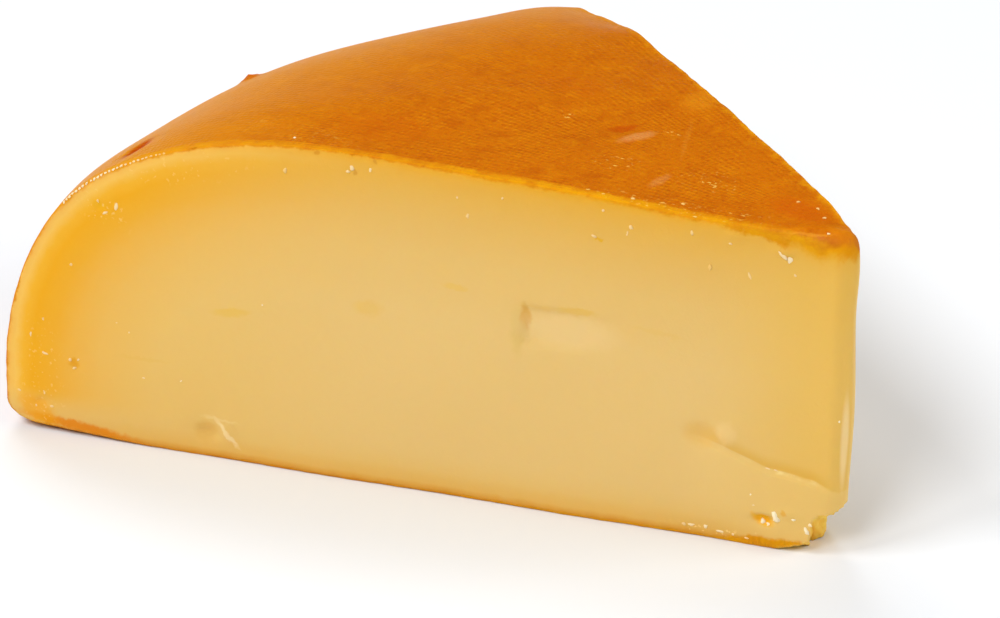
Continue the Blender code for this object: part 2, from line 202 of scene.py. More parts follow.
# ---------------------------------------------------------------------------------------------
# Marks of handling on the cuts and the rind: lips and chips the knife left, a thumbed hollow, the
# ledge where the paste sheared, a flap, a slit and a scar on the rind, and the ragged edge.
# Each is: place along the cut (or X on the rind), height (or Y), the two reaches, and its rise.

FRONT_MARKS = {
    "thumbed hollow": (19.9, 15.4, 2.4, 1.7, -0.42),
    "swelling beside it": (16.6, 16.0, 1.5, 1.7, 0.30),
    "bulge of the tip": (0.5, 19.0, 4.0, 12.0, 0.45),
    "swelling under the pressed rind": (-0.5, 41.5, 3.5, 6.0, 0.60),
    "lip under the rind": (9.6, 43.4, 1.5, 0.6, 0.50),
    "second lip": (16.0, 44.8, 1.4, 0.6, 0.40),
    "chip at the foot": (90.0, 3.6, 2.0, 1.5, -0.40),
    "flap beside the chip": (87.3, 4.2, 0.7, 1.9, 0.50),
    "pit": (11.2, 4.2, 1.4, 0.7, -0.95),
    "smear beside the pit": (8.0, 5.8, 1.6, 0.9, 0.25),
}
LEDGE = ((22.5, 15.2), (18.1, 14.4), (13.0, 12.6), (10.8, 11.8), (7.8, 11.4), (4.4, 10.8), (1.3, 9.6))
LEDGE_STEP, LEDGE_SOFTNESS, LEDGE_FADE, LEDGE_START, LEDGE_END = 0.42, 0.35, 5.5, 0.5, 4.5
LEDGE_UNEVEN, LEDGE_LUMPS = 0.12, 1.6
DRAG_DENT, DRAG_SOFTNESS = (25.9, 45.1, 24.4, 30.4, 0.45), 0.6
RIND_MARKS = {
    "flap on the shoulder": (-43.0, -8.4, 1.1, 1.4, 0.8),
    "slit beside the front edge": (-33.4, -38.1, 1.1, 2.4, -0.60),
    "hollow behind the scar": (17.0, 3.7, 1.1, 1.8, -0.45),
    "scar": (20.4, 2.6, 1.1, 2.6, 0.25),
    "worn corner of the back edge": (-14.5, 37.0, 7.0, 6.0, -1.0),
    "wear behind it": (-21.5, 40.3, 4.2, 4.0, -0.65),
    "swelling of the shoulder": (-30.0, 37.5, 6.5, 8.0, 0.65),
    "worn stretch of the edge": (0.0, 29.5, 5.5, 5.0, -0.55),
    "raised stretch of the edge": (24.5, 18.2, 6.5, 5.0, 0.45),
    "worn corner of the tip": (58.5, 3.5, 5.5, 3.2, -1.10),
}
FINE_MARKS = (
    (104.6, 35.7, 0.7, 0.5, -0.30), (109.5, 11.2, 0.6, 0.5, -0.30), (114.6, 13.2, 0.7, 0.6, -0.25),
    (114.6, 4.6, 0.8, 0.7, -0.30), (34.4, 41.4, 0.5, 0.3, -0.25), (68.1, 45.9, 0.4, 0.5, -0.35),
    (65.2, 47.7, 0.35, 0.5, -0.30), (73.1, 48.0, 0.3, 0.3, -0.20),
)
EDGE_RAG, RAG_REACH, BACK_RAG = 0.24, 0.8, 0.25
RAG_LUMPS, RAG_GRAIN, EDGE_LUMPS = 1.7, 0.6, 1.3


def bell(*offsets):
    """1 in the middle and nothing a little past one reach away: e to the minus 1.2 r^2."""
    return np.exp(-1.2 * sum(offset * offset for offset in offsets))


def lattice_noise(points, size, seed):
    """Smooth random numbers from -1 to 1: one for each corner of a lattice with that cell size,
    blended between the eight corners round each point."""
    low = np.floor(points / size).astype(np.int64)
    part = smooth_step(points / size - low)
    total = np.zeros(len(points))
    for corner in np.ndindex(2, 2, 2):
        mixed_up = (low + corner) @ (7919, 104729, 1299709) + seed * 15485863
        number = np.sin(mixed_up % 99991 * 12.9898) * 43758.5453
        weight = np.where(corner, part, 1 - part).prod(axis=-1)
        total += weight * (2 * (number - np.floor(number)) - 1)
    return total


def pressed_over(points):
    """1 where the rind is pressed down over the front edge beside the tip, and 0 elsewhere."""
    along, behind = cut_place(points, FRONT)
    beside_tip = smooth_step(1.6 - 1.6 * along / PRESSED_LENGTH) * smooth_step(1.5 - behind / PRESSED_BEHIND)
    return beside_tip * smooth_step(points[:, 2] / TOP_HEIGHT[0] * 4 - 2)


def edge_rounding(points):
    """The edges are all but sharp and a little uneven, except where the rind is pressed over."""
    plain = EDGE_ROUNDING * (1 + 0.5 * lattice_noise(points, EDGE_LUMPS, 5))
    return plain + (PRESSED_ROUNDING - plain) * pressed_over(points)


def join_rounded(first, second, rounding):
    """The distance outside both faces, with the edge between them turned to a round."""
    inside = np.minimum(np.maximum(first, second), -rounding)
    return inside + np.hypot(np.maximum(first + rounding, 0), np.maximum(second + rounding, 0))


def above_ledge(points):
    """How far a point lies above the uneven line where the paste sheared."""
    along, _ = cut_place(points, FRONT)
    places, levels = zip(*reversed(LEDGE))
    line = np.interp(along, places, levels) + LEDGE_UNEVEN * lattice_noise(points, LEDGE_LUMPS, 9)
    return points[:, 2] - line


def front_marks(points):
    """How far the front cut stands out: lips, hollows, the ledge and the dent the knife dragged."""
    along, behind = cut_place(points, FRONT)
    height = points[:, 2]
    total = np.zeros(len(points))
    for place, level, long, tall, rise in (*FRONT_MARKS.values(), *FINE_MARKS):
        total += rise * bell((along - place) / long, (height - level) / tall)
    below = -above_ledge(points)
    fade = smooth_step(below / LEDGE_SOFTNESS) * smooth_step(1 - below / (3 * LEDGE_FADE))
    ends = smooth_step((LEDGE[0][0] - along) / LEDGE_FADE) * smooth_step((along - LEDGE_START) / LEDGE_END)
    total += LEDGE_STEP * fade * ends * smooth_step(2 - behind)
    start, end, low, high, depth = DRAG_DENT
    across = smooth_step((end - along) / DRAG_SOFTNESS) * smooth_step((along - start) / (end - start))
    within = smooth_step((height - low) / DRAG_SOFTNESS) * smooth_step((high - height) / DRAG_SOFTNESS)
    total -= depth * across * within
    return total * smooth_step(2 - np.abs(behind) / TIP_ROUNDING)


def rind_marks(points):
    """How far the dents and bumps raise the rind: the sum of an oval bell for each, none by the foot."""
    total = np.zeros(len(points))
    for x, y, long, wide, rise in RIND_MARKS.values():
        total += rise * bell((points[:, 0] - x) / long, (points[:, 1] - y) / wide)
    return total * smooth_step(points[:, 2] / FOOT_RISE - 3)


def waves(points, table):
    """Slow waves: the sum of sines along X and along Y plus Z."""
    x, y = math.tau * points[:, 0], math.tau * (points[:, 1] + points[:, 2])
    return sum(rise * np.sin(x / long + y / wide + start) for rise, long, wide, start in table)


def face_distances(points):
    """How far a point stands outside the rind and outside the cuts, with every wave and mark and
    the rag along the edges. The flat base has none of them."""
    rind, cuts = rind_distance(points), cuts_distance(points)
    off_base = smooth_step(points[:, 2] / (FOOT_RISE / 2))
    near_edge = np.exp(-np.abs(rind) / RAG_REACH)
    rag = lattice_noise(points, RAG_LUMPS, 3) + 0.5 * lattice_noise(points, RAG_GRAIN, 4)
    by_front = smooth_step(2 - cut_place(points, FRONT)[1] / TIP_ROUNDING)
    rag = rag * EDGE_RAG * (BACK_RAG + (1 - BACK_RAG) * by_front)
    rind = rind - off_base * (waves(points, RIND_WAVES) + rind_marks(points))
    cuts = cuts - waves(points, CUT_WAVES) - front_marks(points) - off_base * near_edge * rag
    return rind, cuts


def body_distance(points):
    """How far a point stands outside the wedge before its tip tore."""
    return join_rounded(*face_distances(points), edge_rounding(points))


def drawn_to_form(points, rounds=6, reach=0.01, gentlest=0.25, longest=2.0):
    """Moves each point straight onto the wedge's surface, by the slope of the distance there. The
    slope is measured over a small reach, and no round moves a point further than the longest."""
    for _ in range(rounds):
        away = body_distance(points)
        slope = np.stack([
            (body_distance(points + step) - body_distance(points - step)) / (2 * reach)
            for step in np.eye(3) * reach
        ], axis=-1)
        steepness = np.maximum((slope**2).sum(-1), gentlest)
        points = points - np.clip(away / steepness, -longest, longest)[:, None] * slope
    return np.maximum(points, (-np.inf, -np.inf, 0))


# ---------------------------------------------------------------------------------------------
# The torn tip: the lowest part of the tip broke off under a low overhang. It left a step in the front
# cut, an upright nub behind that, and a ragged slope under the front edge of the base.

TEAR_TURN = math.radians(44.0)
STEP_PLACE, NUB_FRONT, NUB_RIGHT = -2.4, -2.0, -0.1
OVERHANG, OVERHANG_FALL, OVERHANG_RISE, RISE_START = 6.2, 0.55, 0.65, 0.2
STEP_SOFTNESS, NUB_SOFTNESS, OVERHANG_SOFTNESS = 0.5, 2.0, 2.4
SLOPE_START, SLOPE_RISE, SLOPE_MOST, SLOPE_DEPTH = -7.2, 0.35, 1.8, 2.4
TEAR_ROUGHNESS, TEAR_LUMPS, TEAR_GRAIN = 0.22, 1.2, 0.55
HEART_OF_TIP = (40.0, 0.0, 15.0)


def lesser(first, second, softness):
    """The lesser of two distances, with the corner where they meet turned to a round."""
    share = np.clip(0.5 + 0.5 * (second - first) / softness, 0, 1)
    return second + (first - second) * share - softness * share * (1 - share)


def bite_depth(points):
    """How deep a point lies inside what broke off, whose walls are uneven; below zero outside. It is
    what lies right of the step and before the nub, or right of the nub, and under the overhang."""
    x, y, height = points[:, 0] - TIP_CENTRE_X, points[:, 1], points[:, 2]
    right = x * math.cos(TEAR_TURN) + y * math.sin(TEAR_TURN)
    nearer = x * math.sin(TEAR_TURN) - y * math.cos(TEAR_TURN)
    recess = lesser(right - STEP_PLACE, nearer - NUB_FRONT, STEP_SOFTNESS)
    broken = -lesser(-recess, NUB_RIGHT - right, NUB_SOFTNESS)
    overhang = OVERHANG + OVERHANG_FALL * np.minimum(nearer + 1, 0)
    overhang = overhang + OVERHANG_RISE * np.maximum(right - RISE_START, 0)
    broken = lesser(broken, overhang - height, OVERHANG_SOFTNESS)
    rise = np.clip(SLOPE_RISE * (right - SLOPE_START), 0, SLOPE_MOST)
    sloped = rise * (1 - cut_place(points, FRONT)[1] / SLOPE_DEPTH) - height
    uneven = lattice_noise(points, TEAR_LUMPS, 21) + 0.5 * lattice_noise(points, TEAR_GRAIN, 22)
    return np.maximum(broken, sloped) + TEAR_ROUGHNESS * uneven * smooth_step((right - SLOPE_START) / 2)


def torn(points, halvings=20):
    """Each point inside a bite moves straight towards the heart of the tip until it is just out."""
    inside_now = np.where(bite_depth(points) > 0)[0]
    caught = points[inside_now]
    way = HEART_OF_TIP - caught
    near, far = np.zeros(len(caught)), np.ones(len(caught))
    for _ in range(halvings):
        middle = (near + far) / 2
        inside = bite_depth(caught + middle[:, None] * way) > 0
        near, far = np.where(inside, middle, near), np.where(inside, far, middle)
    moved = points.copy()
    moved[inside_now] = caught + far[:, None] * way
    return moved


# ---------------------------------------------------------------------------------------------
# The wedge's skin as one closed mesh: grids for the rind, the tip's round, the base near the tip and
# the rim, and the two cuts, whose lines lie closest together beside the edges and the tip. Then the
# material: waxy paste, and a thin satin rind with the imprint of the cloth it was pressed in.

MM = 0.001
SHARE_LINES = 118
TIP_STEP, STEP_GROWTH, LONGEST_STEP = 0.26, 1.022, 0.80
SHOULDER_LINES, SIDE_LINES, FOOT_LINES = 62, 112, 10
LOWER_SIDE = 1.25
EDGE_LINES = (0.0, 0.15, 0.32, 0.55, 0.9, 1.4)
MIDDLE_OF_SHOULDER, MIDDLE_OF_FOOT, END_OF_FOOT = 1.5, 2.6, 3.0
BASE_ROWS, RIM_ROWS = 40, 32


def shares(width):
    """Shares from 0 to 1 with lines at fixed distances from both edges and the rest spread evenly."""
    even = np.linspace(0, 1, SHARE_LINES + 1)
    held = np.minimum(np.array(EDGE_LINES) / width, even[: len(EDGE_LINES)])
    inner = np.linspace(held[-1], 1 - held[-1], SHARE_LINES + 3 - 2 * len(EDGE_LINES))
    return np.concatenate([held[:-1], inner, 1 - held[-2::-1]])


def graded(length):
    """Distances from 0 to length that start at the tip's step and grow to the longest one."""
    stops, step = [0.0], TIP_STEP
    while stops[-1] + step < length:
        stops.append(stops[-1] + step)
        step = min(step * STEP_GROWTH, LONGEST_STEP)
    return np.array(stops) * length / stops[-1]


def run_stops():
    """The run's stops over the top and half the shoulder, down the side, and round the foot."""
    flat = WHEEL_RADIUS - SHOULDER_REACH[0] - TIP_RADIUS
    over = np.concatenate([
        graded(flat) / flat,
        np.linspace(1, MIDDLE_OF_SHOULDER, SHOULDER_LINES + 1)[1:],
    ])
    down = 1 - (1 - np.linspace(0, 1, SIDE_LINES + 1)) ** LOWER_SIDE
    side = MIDDLE_OF_SHOULDER + (MIDDLE_OF_FOOT - MIDDLE_OF_SHOULDER) * down
    foot = np.linspace(MIDDLE_OF_FOOT, END_OF_FOOT, FOOT_LINES + 1)
    return over, side, foot


def rind_grid(over, side, foot):
    """Rows run from the front cut to the back cut, one for each stop of the run."""
    rows = []
    for run in np.concatenate([over, side[1:], foot[1:]]):
        radius, _ = rind_profile(0.5, run)
        share = shares(2 * radius * turn_limits(radius)[1])
        rows.append(on_wheel(share, *rind_profile(share, run)))
    return np.array(rows)


def tip_grid(top, levels):
    """The round of the tip, from its upper row down to the base; levels are shares of the height."""
    grid = np.repeat(top[None], len(levels), axis=0)
    grid[:, :, 2] *= levels[:, None]
    return grid


def base_grid(count):
    """Rows on the flat base run from the front cut to the back cut, from the tip to the foot."""
    reach = rim_radius(0.5) - FOOT_REACH - TIP_RADIUS
    stops = graded(reach) / reach
    rows = []
    for part in np.interp(np.linspace(0, 1, count), np.linspace(0, 1, len(stops)), stops):
        radius = TIP_RADIUS + part * reach
        share = shares(2 * radius * turn_limits(radius)[1])
        rows.append(on_wheel(share, radius + part * (rim_radius(share) - rim_radius(0.5)), 0.0))
    return np.array(rows)


def cut_grid(edge_over, edge_side, bottom, tip):
    """A cut's face, filled from its four sides: each point is the sum of the two straight blends
    between facing sides less the blend of the four corners."""
    across = np.linspace(0, 1, len(bottom))[:, None, None]
    up = np.linspace(0, 1, len(tip))[None, :, None]
    sides = (1 - up) * bottom[:, None] + up * edge_over[:, None]
    sides = sides + (1 - across) * tip[None] + across * edge_side[None]
    lower = (1 - across) * bottom[0] + across * bottom[-1]
    upper = (1 - across) * edge_over[0] + across * edge_over[-1]
    return sides - (1 - up) * lower - up * upper


def grid_faces(grid):
    """The quads of a grid of points."""
    rows, columns = grid.shape[:2]
    number = np.arange(rows * columns).reshape(rows, columns)
    corners = number[:-1, :-1], number[1:, :-1], number[1:, 1:], number[:-1, 1:]
    return np.stack([corner.ravel() for corner in corners], axis=-1)


def wedge_surface():
    """The points and quads of the whole wedge, and the outline of the base's plain middle."""
    over, side, foot = run_stops()
    rind = rind_grid(over, side, foot)
    last_over, last_side = len(over) - 1, len(over) + len(side) - 2
    tip = tip_grid(rind[0], (1 - np.linspace(0, 1, len(side))) ** LOWER_SIDE)
    base = base_grid(len(over) - len(foot) + 1)
    rim = len(base) - RIM_ROWS
    patches = [rind, tip, base[:BASE_ROWS], base[rim:]]
    for column in (0, -1):
        bottom = np.concatenate([base[:, column], rind[last_side:-1, column][::-1]])
        up_side = rind[last_over:last_side + 1, column][::-1]
        patches.append(cut_grid(rind[: last_over + 1, column], up_side, bottom, tip[::-1, column]))
    points, quads, start = [], [], 0
    for patch in patches:
        points.append(patch.reshape(-1, 3))
        quads.append(grid_faces(patch) + start)
        start += len(points[-1])
    middle = np.concatenate([
        base[BASE_ROWS - 1], base[BASE_ROWS:rim + 1, -1], base[rim, -2:0:-1], base[rim:BASE_ROWS - 1:-1, 0],
    ])
    points.append(middle)
    return np.concatenate(points), np.concatenate(quads), np.arange(start, start + len(middle))


def closed_mesh(name, points, faces, merge=0.002):
    """A mesh in metres from points in millimetres, its seams merged and its faces turned outwards."""
    mesh = bpy.data.meshes.new(name)
    mesh.from_pydata((points * MM).tolist(), [], faces)
    work = bmesh.new()
    work.from_mesh(mesh)
    bmesh.ops.remove_doubles(work, verts=work.verts, dist=merge * MM)
    bmesh.ops.dissolve_degenerate(work, edges=work.edges, dist=merge * MM)
    bmesh.ops.recalc_face_normals(work, faces=work.faces)
    work.to_mesh(mesh)
    work.free()
    mesh.shade_smooth()
    return mesh


def mesh_points(mesh):
    """The mesh's points in millimetres."""
    points = np.empty(len(mesh.vertices) * 3, dtype=np.float32)
    mesh.vertices.foreach_get("co", points)
    return points.reshape(-1, 3).astype(float) / MM


def evened(mesh, points, rounds=8):
    """Spreads out the points that crowd on the pressed round beside the tip: each moves half the way
    to the middle of its neighbours and is drawn back onto the form."""
    edges = np.empty(len(mesh.edges) * 2, dtype=np.int32)
    mesh.edges.foreach_get("vertices", edges)
    first, last = edges.reshape(-1, 2).T
    share = pressed_over(points)
    moving = share > 0
    for _ in range(rounds):
        total = np.stack([
            np.bincount(first, axis[last], len(axis)) + np.bincount(last, axis[first], len(axis))
            for axis in points.T
        ], axis=-1)
        middle = total / np.bincount(edges, minlength=len(points))[:, None]
        points = points + 0.5 * share[:, None] * (middle - points)
        points[moving] = drawn_to_form(points[moving], rounds=2)
    mesh.vertices.foreach_set("co", (points * MM).astype(np.float32).ravel())
    mesh.update()
    return points


def store(mesh, name, values):
    """Keeps one number for each point, which the material reads by that name."""
    mesh.attributes.new(name, "FLOAT", "POINT").data.foreach_set("value", values.astype(np.float32))


points, quads, middle = wedge_surface()
points = torn(drawn_to_form(points))
wedge_mesh = closed_mesh("cheese", points, [*quads.tolist(), middle.tolist()])
points = evened(wedge_mesh, mesh_points(wedge_mesh))

# What the material needs to know about each point: how deep it lies under the rind's top and side,
# how far it is over the edge from the cuts (above 0) onto the rind, where the rind is pressed over,
# its place along the front cut and behind it, above the ledge and round the tip, its way round and
# out on the wheel, and whether the tear laid it bare.
upper, _ = rind_distances(points)
rind_away, cuts_away = face_distances(points)
radius = np.hypot(WHEEL_CENTRE_X - points[:, 0], points[:, 1])
front_along, front_behind = cut_place(points, FRONT)
back_along, back_behind = cut_place(points, BACK)
store(wedge_mesh, "under", -upper)
pressed = pressed_over(points)
uneven = 1 + 0.35 * lattice_noise(points, PRESSED_LUMPS, 31)
uneven = uneven + 0.25 * lattice_noise(points, PRESSED_GRAIN, 32)
beside = PRESSED_OVER_BESIDE * smooth_step((PRESSED_BESIDE - front_along) / PRESSED_FADE)
beside = beside * smooth_step(1.5 - front_behind / PRESSED_BEHIND)
drawn_over = np.maximum(PRESSED_OVER * pressed, beside) * uneven
store(wedge_mesh, "over_edge", rind_away - cuts_away + drawn_over)
store(wedge_mesh, "pressed", pressed)
store(wedge_mesh, "above_ledge", above_ledge(points))
store(wedge_mesh, "swing", np.degrees(np.arctan2(points[:, 1], points[:, 0] - TIP_CENTRE_X)))
store(wedge_mesh, "along", np.where(front_behind < back_behind, front_along, back_along))
store(wedge_mesh, "behind", front_behind)
store(wedge_mesh, "round", np.degrees(np.arctan2(points[:, 1], WHEEL_CENTRE_X - points[:, 0])))
store(wedge_mesh, "torn", smooth_step(1 + bite_depth(points) / 0.15))

bends = np.linspace(0, 1, 60)
bend_radius, bend_height = rind_profile(0.5, 1 + bends)
bend_length = np.concatenate([[0], np.cumsum(np.hypot(np.diff(bend_radius), np.diff(bend_height)))])
bend_turn = np.arctan2(bend_radius - bend_radius[0], bend_height - FOOT_RISE)
turn = np.arctan2(np.maximum(radius - bend_radius[0], 0), points[:, 2] - FOOT_RISE)
store(wedge_mesh, "out", np.minimum(radius, bend_radius[0]) + np.interp(turn, bend_turn, bend_length))


class Number:
    """A number worked out by a material's nodes. Sums, products and powers add Math nodes."""

    def __init__(self, sheet, socket):
        self.sheet, self.socket = sheet, socket

    def math(self, operation, *values):
        return self.sheet.node("ShaderNodeMath", {"operation": operation}, [self, *values])

    def __add__(self, other):
        return self.math("ADD", other)

    def __radd__(self, other):
        return self.math("ADD", other)

    def __sub__(self, other):
        return self.math("SUBTRACT", other)

    def __rsub__(self, other):
        return self.sheet.node("ShaderNodeMath", {"operation": "SUBTRACT"}, [other, self])

    def __mul__(self, other):
        return self.math("MULTIPLY", other)

    def __truediv__(self, other):
        return self.math("DIVIDE", other)

    __rmul__ = __mul__

    def smooth(self, low, high):
        """0 at low, 1 at high, eased at both ends."""
        return self.sheet.node("ShaderNodeMapRange", {"interpolation_type": "SMOOTHSTEP"}, {
            "Value": self, "From Min": low, "From Max": high,
        })

    def wave(self):
        """0 to 1 and back, once for each whole number."""
        return (self * math.tau).math("COSINE") * 0.5 + 0.5


class Sheet:
    """A material and the nodes that it is worked out with."""

    def __init__(self, name):
        self.material = bpy.data.materials.new(name)
        self.material.use_nodes = True
        self.tree = self.material.node_tree
        self.shader = self.tree.nodes["Principled BSDF"]

    def node(self, kind, settings=(), values=(), output=0):
        """A node of that kind, with its settings made first and then its sockets' values or links."""
        node = self.tree.nodes.new(kind)
        for name, value in dict(settings).items():
            if name == "stops":
                ramp = node.color_ramp
                while len(ramp.elements) < len(value):
                    ramp.elements.new(0.5)
                for element, (place, colour) in zip(ramp.elements, value):
                    element.position, element.color = place, linear(colour)
            else:
                setattr(node, name, value)
        pairs = values.items() if isinstance(values, dict) else enumerate(values)
        for key, value in pairs:
            self.feed(node.inputs[key], value)
        return Number(self, node.outputs[output])

    def feed(self, socket, value):
        """Links a number's node to the socket, or sets the socket to a plain value."""
        if isinstance(value, Number):
            self.tree.links.new(value.socket, socket)
        else:
            socket.default_value = value

    def kept(self, name):
        """A number stored on the mesh."""
        return self.node("ShaderNodeAttribute", {"attribute_name": name}, output="Fac")

    def noise(self, size, detail=2.0, seed=0.0):
        """Smooth noise from 0 to 1 whose lumps are about that many millimetres across."""
        place = self.node("ShaderNodeMapping", {}, {
            "Vector": self.node("ShaderNodeTexCoord", output="Object"),
            "Location": (seed, seed, seed),
            "Scale": [1 / (size * MM)] * 3,
        })
        return self.node("ShaderNodeTexNoise", {}, {"Vector": place, "Scale": 1.0, "Detail": detail})

    def vector(self, operation, *values):
        """A vector or, for LENGTH, a number worked out from vectors."""
        output = "Value" if operation == "LENGTH" else "Vector"
        return self.node("ShaderNodeVectorMath", {"operation": operation}, values, output)

    def spot(self, plane, place, reach, turn=0.0, softness=0.45):
        """1 inside an oval spot and 0 outside it; the plane's numbers are millimetres."""
        inside = self.node("ShaderNodeMapping", {"vector_type": "TEXTURE"}, {
            "Vector": plane,
            "Location": (*place, 0),
            "Rotation": (0, 0, math.radians(turn)),
            "Scale": (*reach, 1),
        })
        return 1 - self.vector("LENGTH", inside).smooth(1 - softness, 1 + softness)

    def blend(self, share, first, second, way="MIX", strength=1.0):
        """The first colour where share is 0 and the second where it is 1."""
        node = self.tree.nodes.new("ShaderNodeMix")
        node.data_type, node.blend_type = "RGBA", way
        for key, value in ((0, share * strength), (6, first), (7, second)):
            self.feed(node.inputs[key], value)
        return Number(self, node.outputs[2])

    def ramp(self, value, longest, stops):
        """A colour that follows a number of millimetres; each stop is a place and a colour."""
        stops = [(place / longest, colour) for place, colour in stops]
        return self.node("ShaderNodeValToRGB", {"stops": stops}, [value / longest])

    def relief(self, height):
        """A normal for relief that is that many millimetres high."""
        return self.node("ShaderNodeBump", {}, {"Height": height, "Strength": 1.0, "Distance": MM})


def linear(colour):
    """The 8-bit screen colour as the scene's linear light, with full alpha."""
    parts = [part / 255 for part in colour]
    return (*[part / 12.92 if part <= 0.04045 else ((part + 0.055) / 1.055) ** 2.4 for part in parts], 1.0)


# Colours of the paste by depth under the rind, first along the top and then down the side, and by
# height above the base. Colours are what a screen shows, from 0 to 255.
PASTE_UNDER_TOP = (
    (0.0, (231, 166, 30)), (0.6, (231, 169, 46)), (1.5, (230, 173, 64)), (4.0, (229, 178, 80)),
    (8.0, (229, 183, 96)), (13.0, (230, 189, 109)), (22.0, (231, 193, 119)),
)
PASTE_BY_SIDE = (
    (0.0, (228, 150, 40)), (0.5, (240, 184, 82)), (1.3, (243, 192, 86)), (2.6, (242, 178, 42)),
    (4.0, (239, 170, 22)), (7.0, (237, 172, 42)), (10.0, (236, 178, 70)), (14.0, (234, 184, 88)),
    (22.0, (232, 190, 104)),
)
PASTE_BY_BASE = (
    (0.0, (204, 120, 14)), (0.3, (212, 138, 34)), (0.7, (222, 160, 62)), (1.4, (229, 180, 90)),
    (3.5, (231, 189, 106)), (8.0, (231, 193, 112)),
)
PASTE_DEPTH, BASE_DEPTH = 22.0, 8.0
TIP_YELLOW, TORN_AMBER, TORN_DARK = (233, 186, 84), (255, 216, 98), (252, 192, 56)
# The ledge's paler face, the painted highlight on its lip and the painted shade above it.
LEDGE_PALE, LEDGE_HIGHLIGHT, LEDGE_SHADE = (238, 200, 122), (250, 222, 150), (222, 166, 50)
RIND_ORANGE, RIND_DEEP, RIND_BRIGHT = (201, 108, 0), (178, 81, 0), (223, 138, 4)
# Painted sheen for the rind's shoulder, and the yellow of the thin rind along the edges.
RIND_SHEEN, RIND_YELLOW = (230, 154, 24), (228, 158, 0)
# Painted shade in the slit and in the hollow behind the scar, and the scar's pale scuff with a painted
# highlight.
SLIT_SHADE, SCAR_SCUFF_AND_HIGHLIGHT, HOLLOW_SHADE = (188, 74, 0), (228, 156, 86), (186, 78, 0)
PAINTED_GLINT_COLOUR, FLECK = (252, 206, 96), (252, 214, 130)
CLOUD_PALE = (236, 198, 124)

# How many threads run out from the wheel's middle, and from how far out; and the rings' spacing.
WHEEL_THREADS = ((195, 0), (363, 36), (628, 70))
RING_SPACING = 0.7

# The noises' sizes, how far they shift the paste's depth, and how much deeper pressed paste counts.
CLOUD_SIZE, MOTTLE_SIZE, SPECK_SIZE, GLINT_AND_FLECK_SIZE, WANDER_SIZE = 8.0, 2.2, 0.45, 0.6, 1 / 0.9
TOP_MOTTLE, SIDE_MOTTLE, BASE_MOTTLE, PRESSED_DEPTH = 0.7, 1.2, 0.6, 2.2

# Where a finish starts and where it is full: along a cut from the wheel's middle, in depth, in
# height, out over the rind, and behind the front cut.
TIP_FADE, TIP_EDGE_FADE, TIP_ROUND_FADE, TIP_DEPTH_FADE = (3, 22), (3, 5), (3.4, 5.0), (0.5, 8)
LEDGE_FAR_FADE, NEAR_HALF_FADE, SIDE_FADE = (15, 23), (30, 70), (60, 104)
BASE_FADE, BASE_TIP_FADE, ON_TOP_FADE, BEHIND_FADE = (2.0, 7.0), (6, 20), (12, 16), (1.5, 2.5)
MIDDLE_FADE, SHOULDER_FADE, RIM_FADE = (8, 22), (66, 112), (108, 130)

# How strongly each finish covers what is under it.
LEDGE_SHARE, LIP_HIGHLIGHT_SHARE, SHADE_SHARE = 0.5, 0.9, 0.5
TIP_SHARE, CLOUD_SHARE, TORN_SHARE = 0.75, 0.12, 0.85
DEEP_SHARE, BRIGHT_SHARE, GROOVE_SHADE_SHARE, THREAD_HIGHLIGHT_SHARE = 0.5, 0.4, 0.6, 0.45

# Marks that only the colour shows, some of them painted light and shade: place, half its size each way, turn
# in degrees, colour, strength.
# On the front cut, the thumbed hollow and the dragged dent carry painted shade and painted light; the rest
# are stains, pits and flecks.
FRONT_STAINS_AND_SHADING = (
    # Painted shade in the thumbed hollow and painted light on the swelling beside it; then the amber pit and
    # a spot beside it.
    ((19.9, 15.4), (2.4, 1.7), 0, (229, 175, 76), 0.35), ((16.6, 16.0), (1.4, 1.6), 0, (242, 206, 136), 0.45),
    ((11.4, 4.2), (1.35, 0.75), 20, (244, 176, 14), 0.95), ((8.5, 5.7), (0.4, 0.45), 0, (230, 160, 20), 0.6),
    ((90.4, 4.0), (1.6, 1.4), 0, (224, 172, 80), 0.5), ((87.2, 4.0), (2.4, 0.35), 50, (246, 218, 160), 0.75),
    ((88.2, 6.0), (2.4, 0.22), 4, (240, 208, 140), 0.5),
    # The dragged dent: its wall and upper edge painted dark as shade, its floor painted paler as light.
    ((44.4, 28.5), (0.7, 1.9), 0, (222, 164, 68), 0.8), ((45.5, 26.2), (0.9, 3.2), 0, (220, 184, 100), 0.5),
    ((37.0, 30.5), (2.2, 0.5), 1, (230, 184, 78), 0.6), ((38.5, 27.4), (6.5, 2.4), 0, (238, 203, 138), 0.55),
    ((40.0, 30.2), (4.6, 0.35), 1, (230, 186, 92), 0.4), ((26.0, 29.2), (3.2, 0.35), 6, (229, 186, 96), 0.35),
    ((109.5, 11.3), (0.7, 0.6), 0, (232, 160, 24), 0.85),
    ((104.9, 35.9), (0.7, 0.5), 20, (240, 176, 20), 0.7),
    ((34.4, 41.4), (0.6, 0.25), 0, (228, 172, 24), 0.8), ((73.1, 48.0), (0.35, 0.3), 0, (218, 146, 30), 0.8),
    ((68.0, 45.9), (0.3, 0.4), 0, (214, 150, 50), 0.8), ((65.1, 47.8), (0.3, 0.4), 0, (214, 146, 40), 0.8),
    ((86.1, 22.7), (2.6, 0.6), -8, (230, 184, 76), 0.6), ((66.4, 26.4), (1.9, 1.1), 0, (230, 186, 92), 0.55),
    ((54.1, 31.4), (1.6, 0.45), 6, (231, 187, 88), 0.6), ((99.5, 13.5), (3.4, 0.35), 0, (228, 180, 80), 0.3),
    ((109.0, 1.5), (8.0, 0.75), 6, (228, 134, 0), 0.9), ((115.4, 3.0), (3.0, 1.7), 30, (240, 164, 8), 0.7),
)
# Painted highlights on the tip's round, by its swing about the tip and its height: a pale streak where the
# round catches the light and a broad paler wash over its right side.
TIP_HIGHLIGHTS = (
    ((-12, 17.0), (12, 6.0), 0, (252, 226, 172), 0.5), ((44, 24.0), (30, 30.0), 0, (248, 214, 150), 0.45),
)
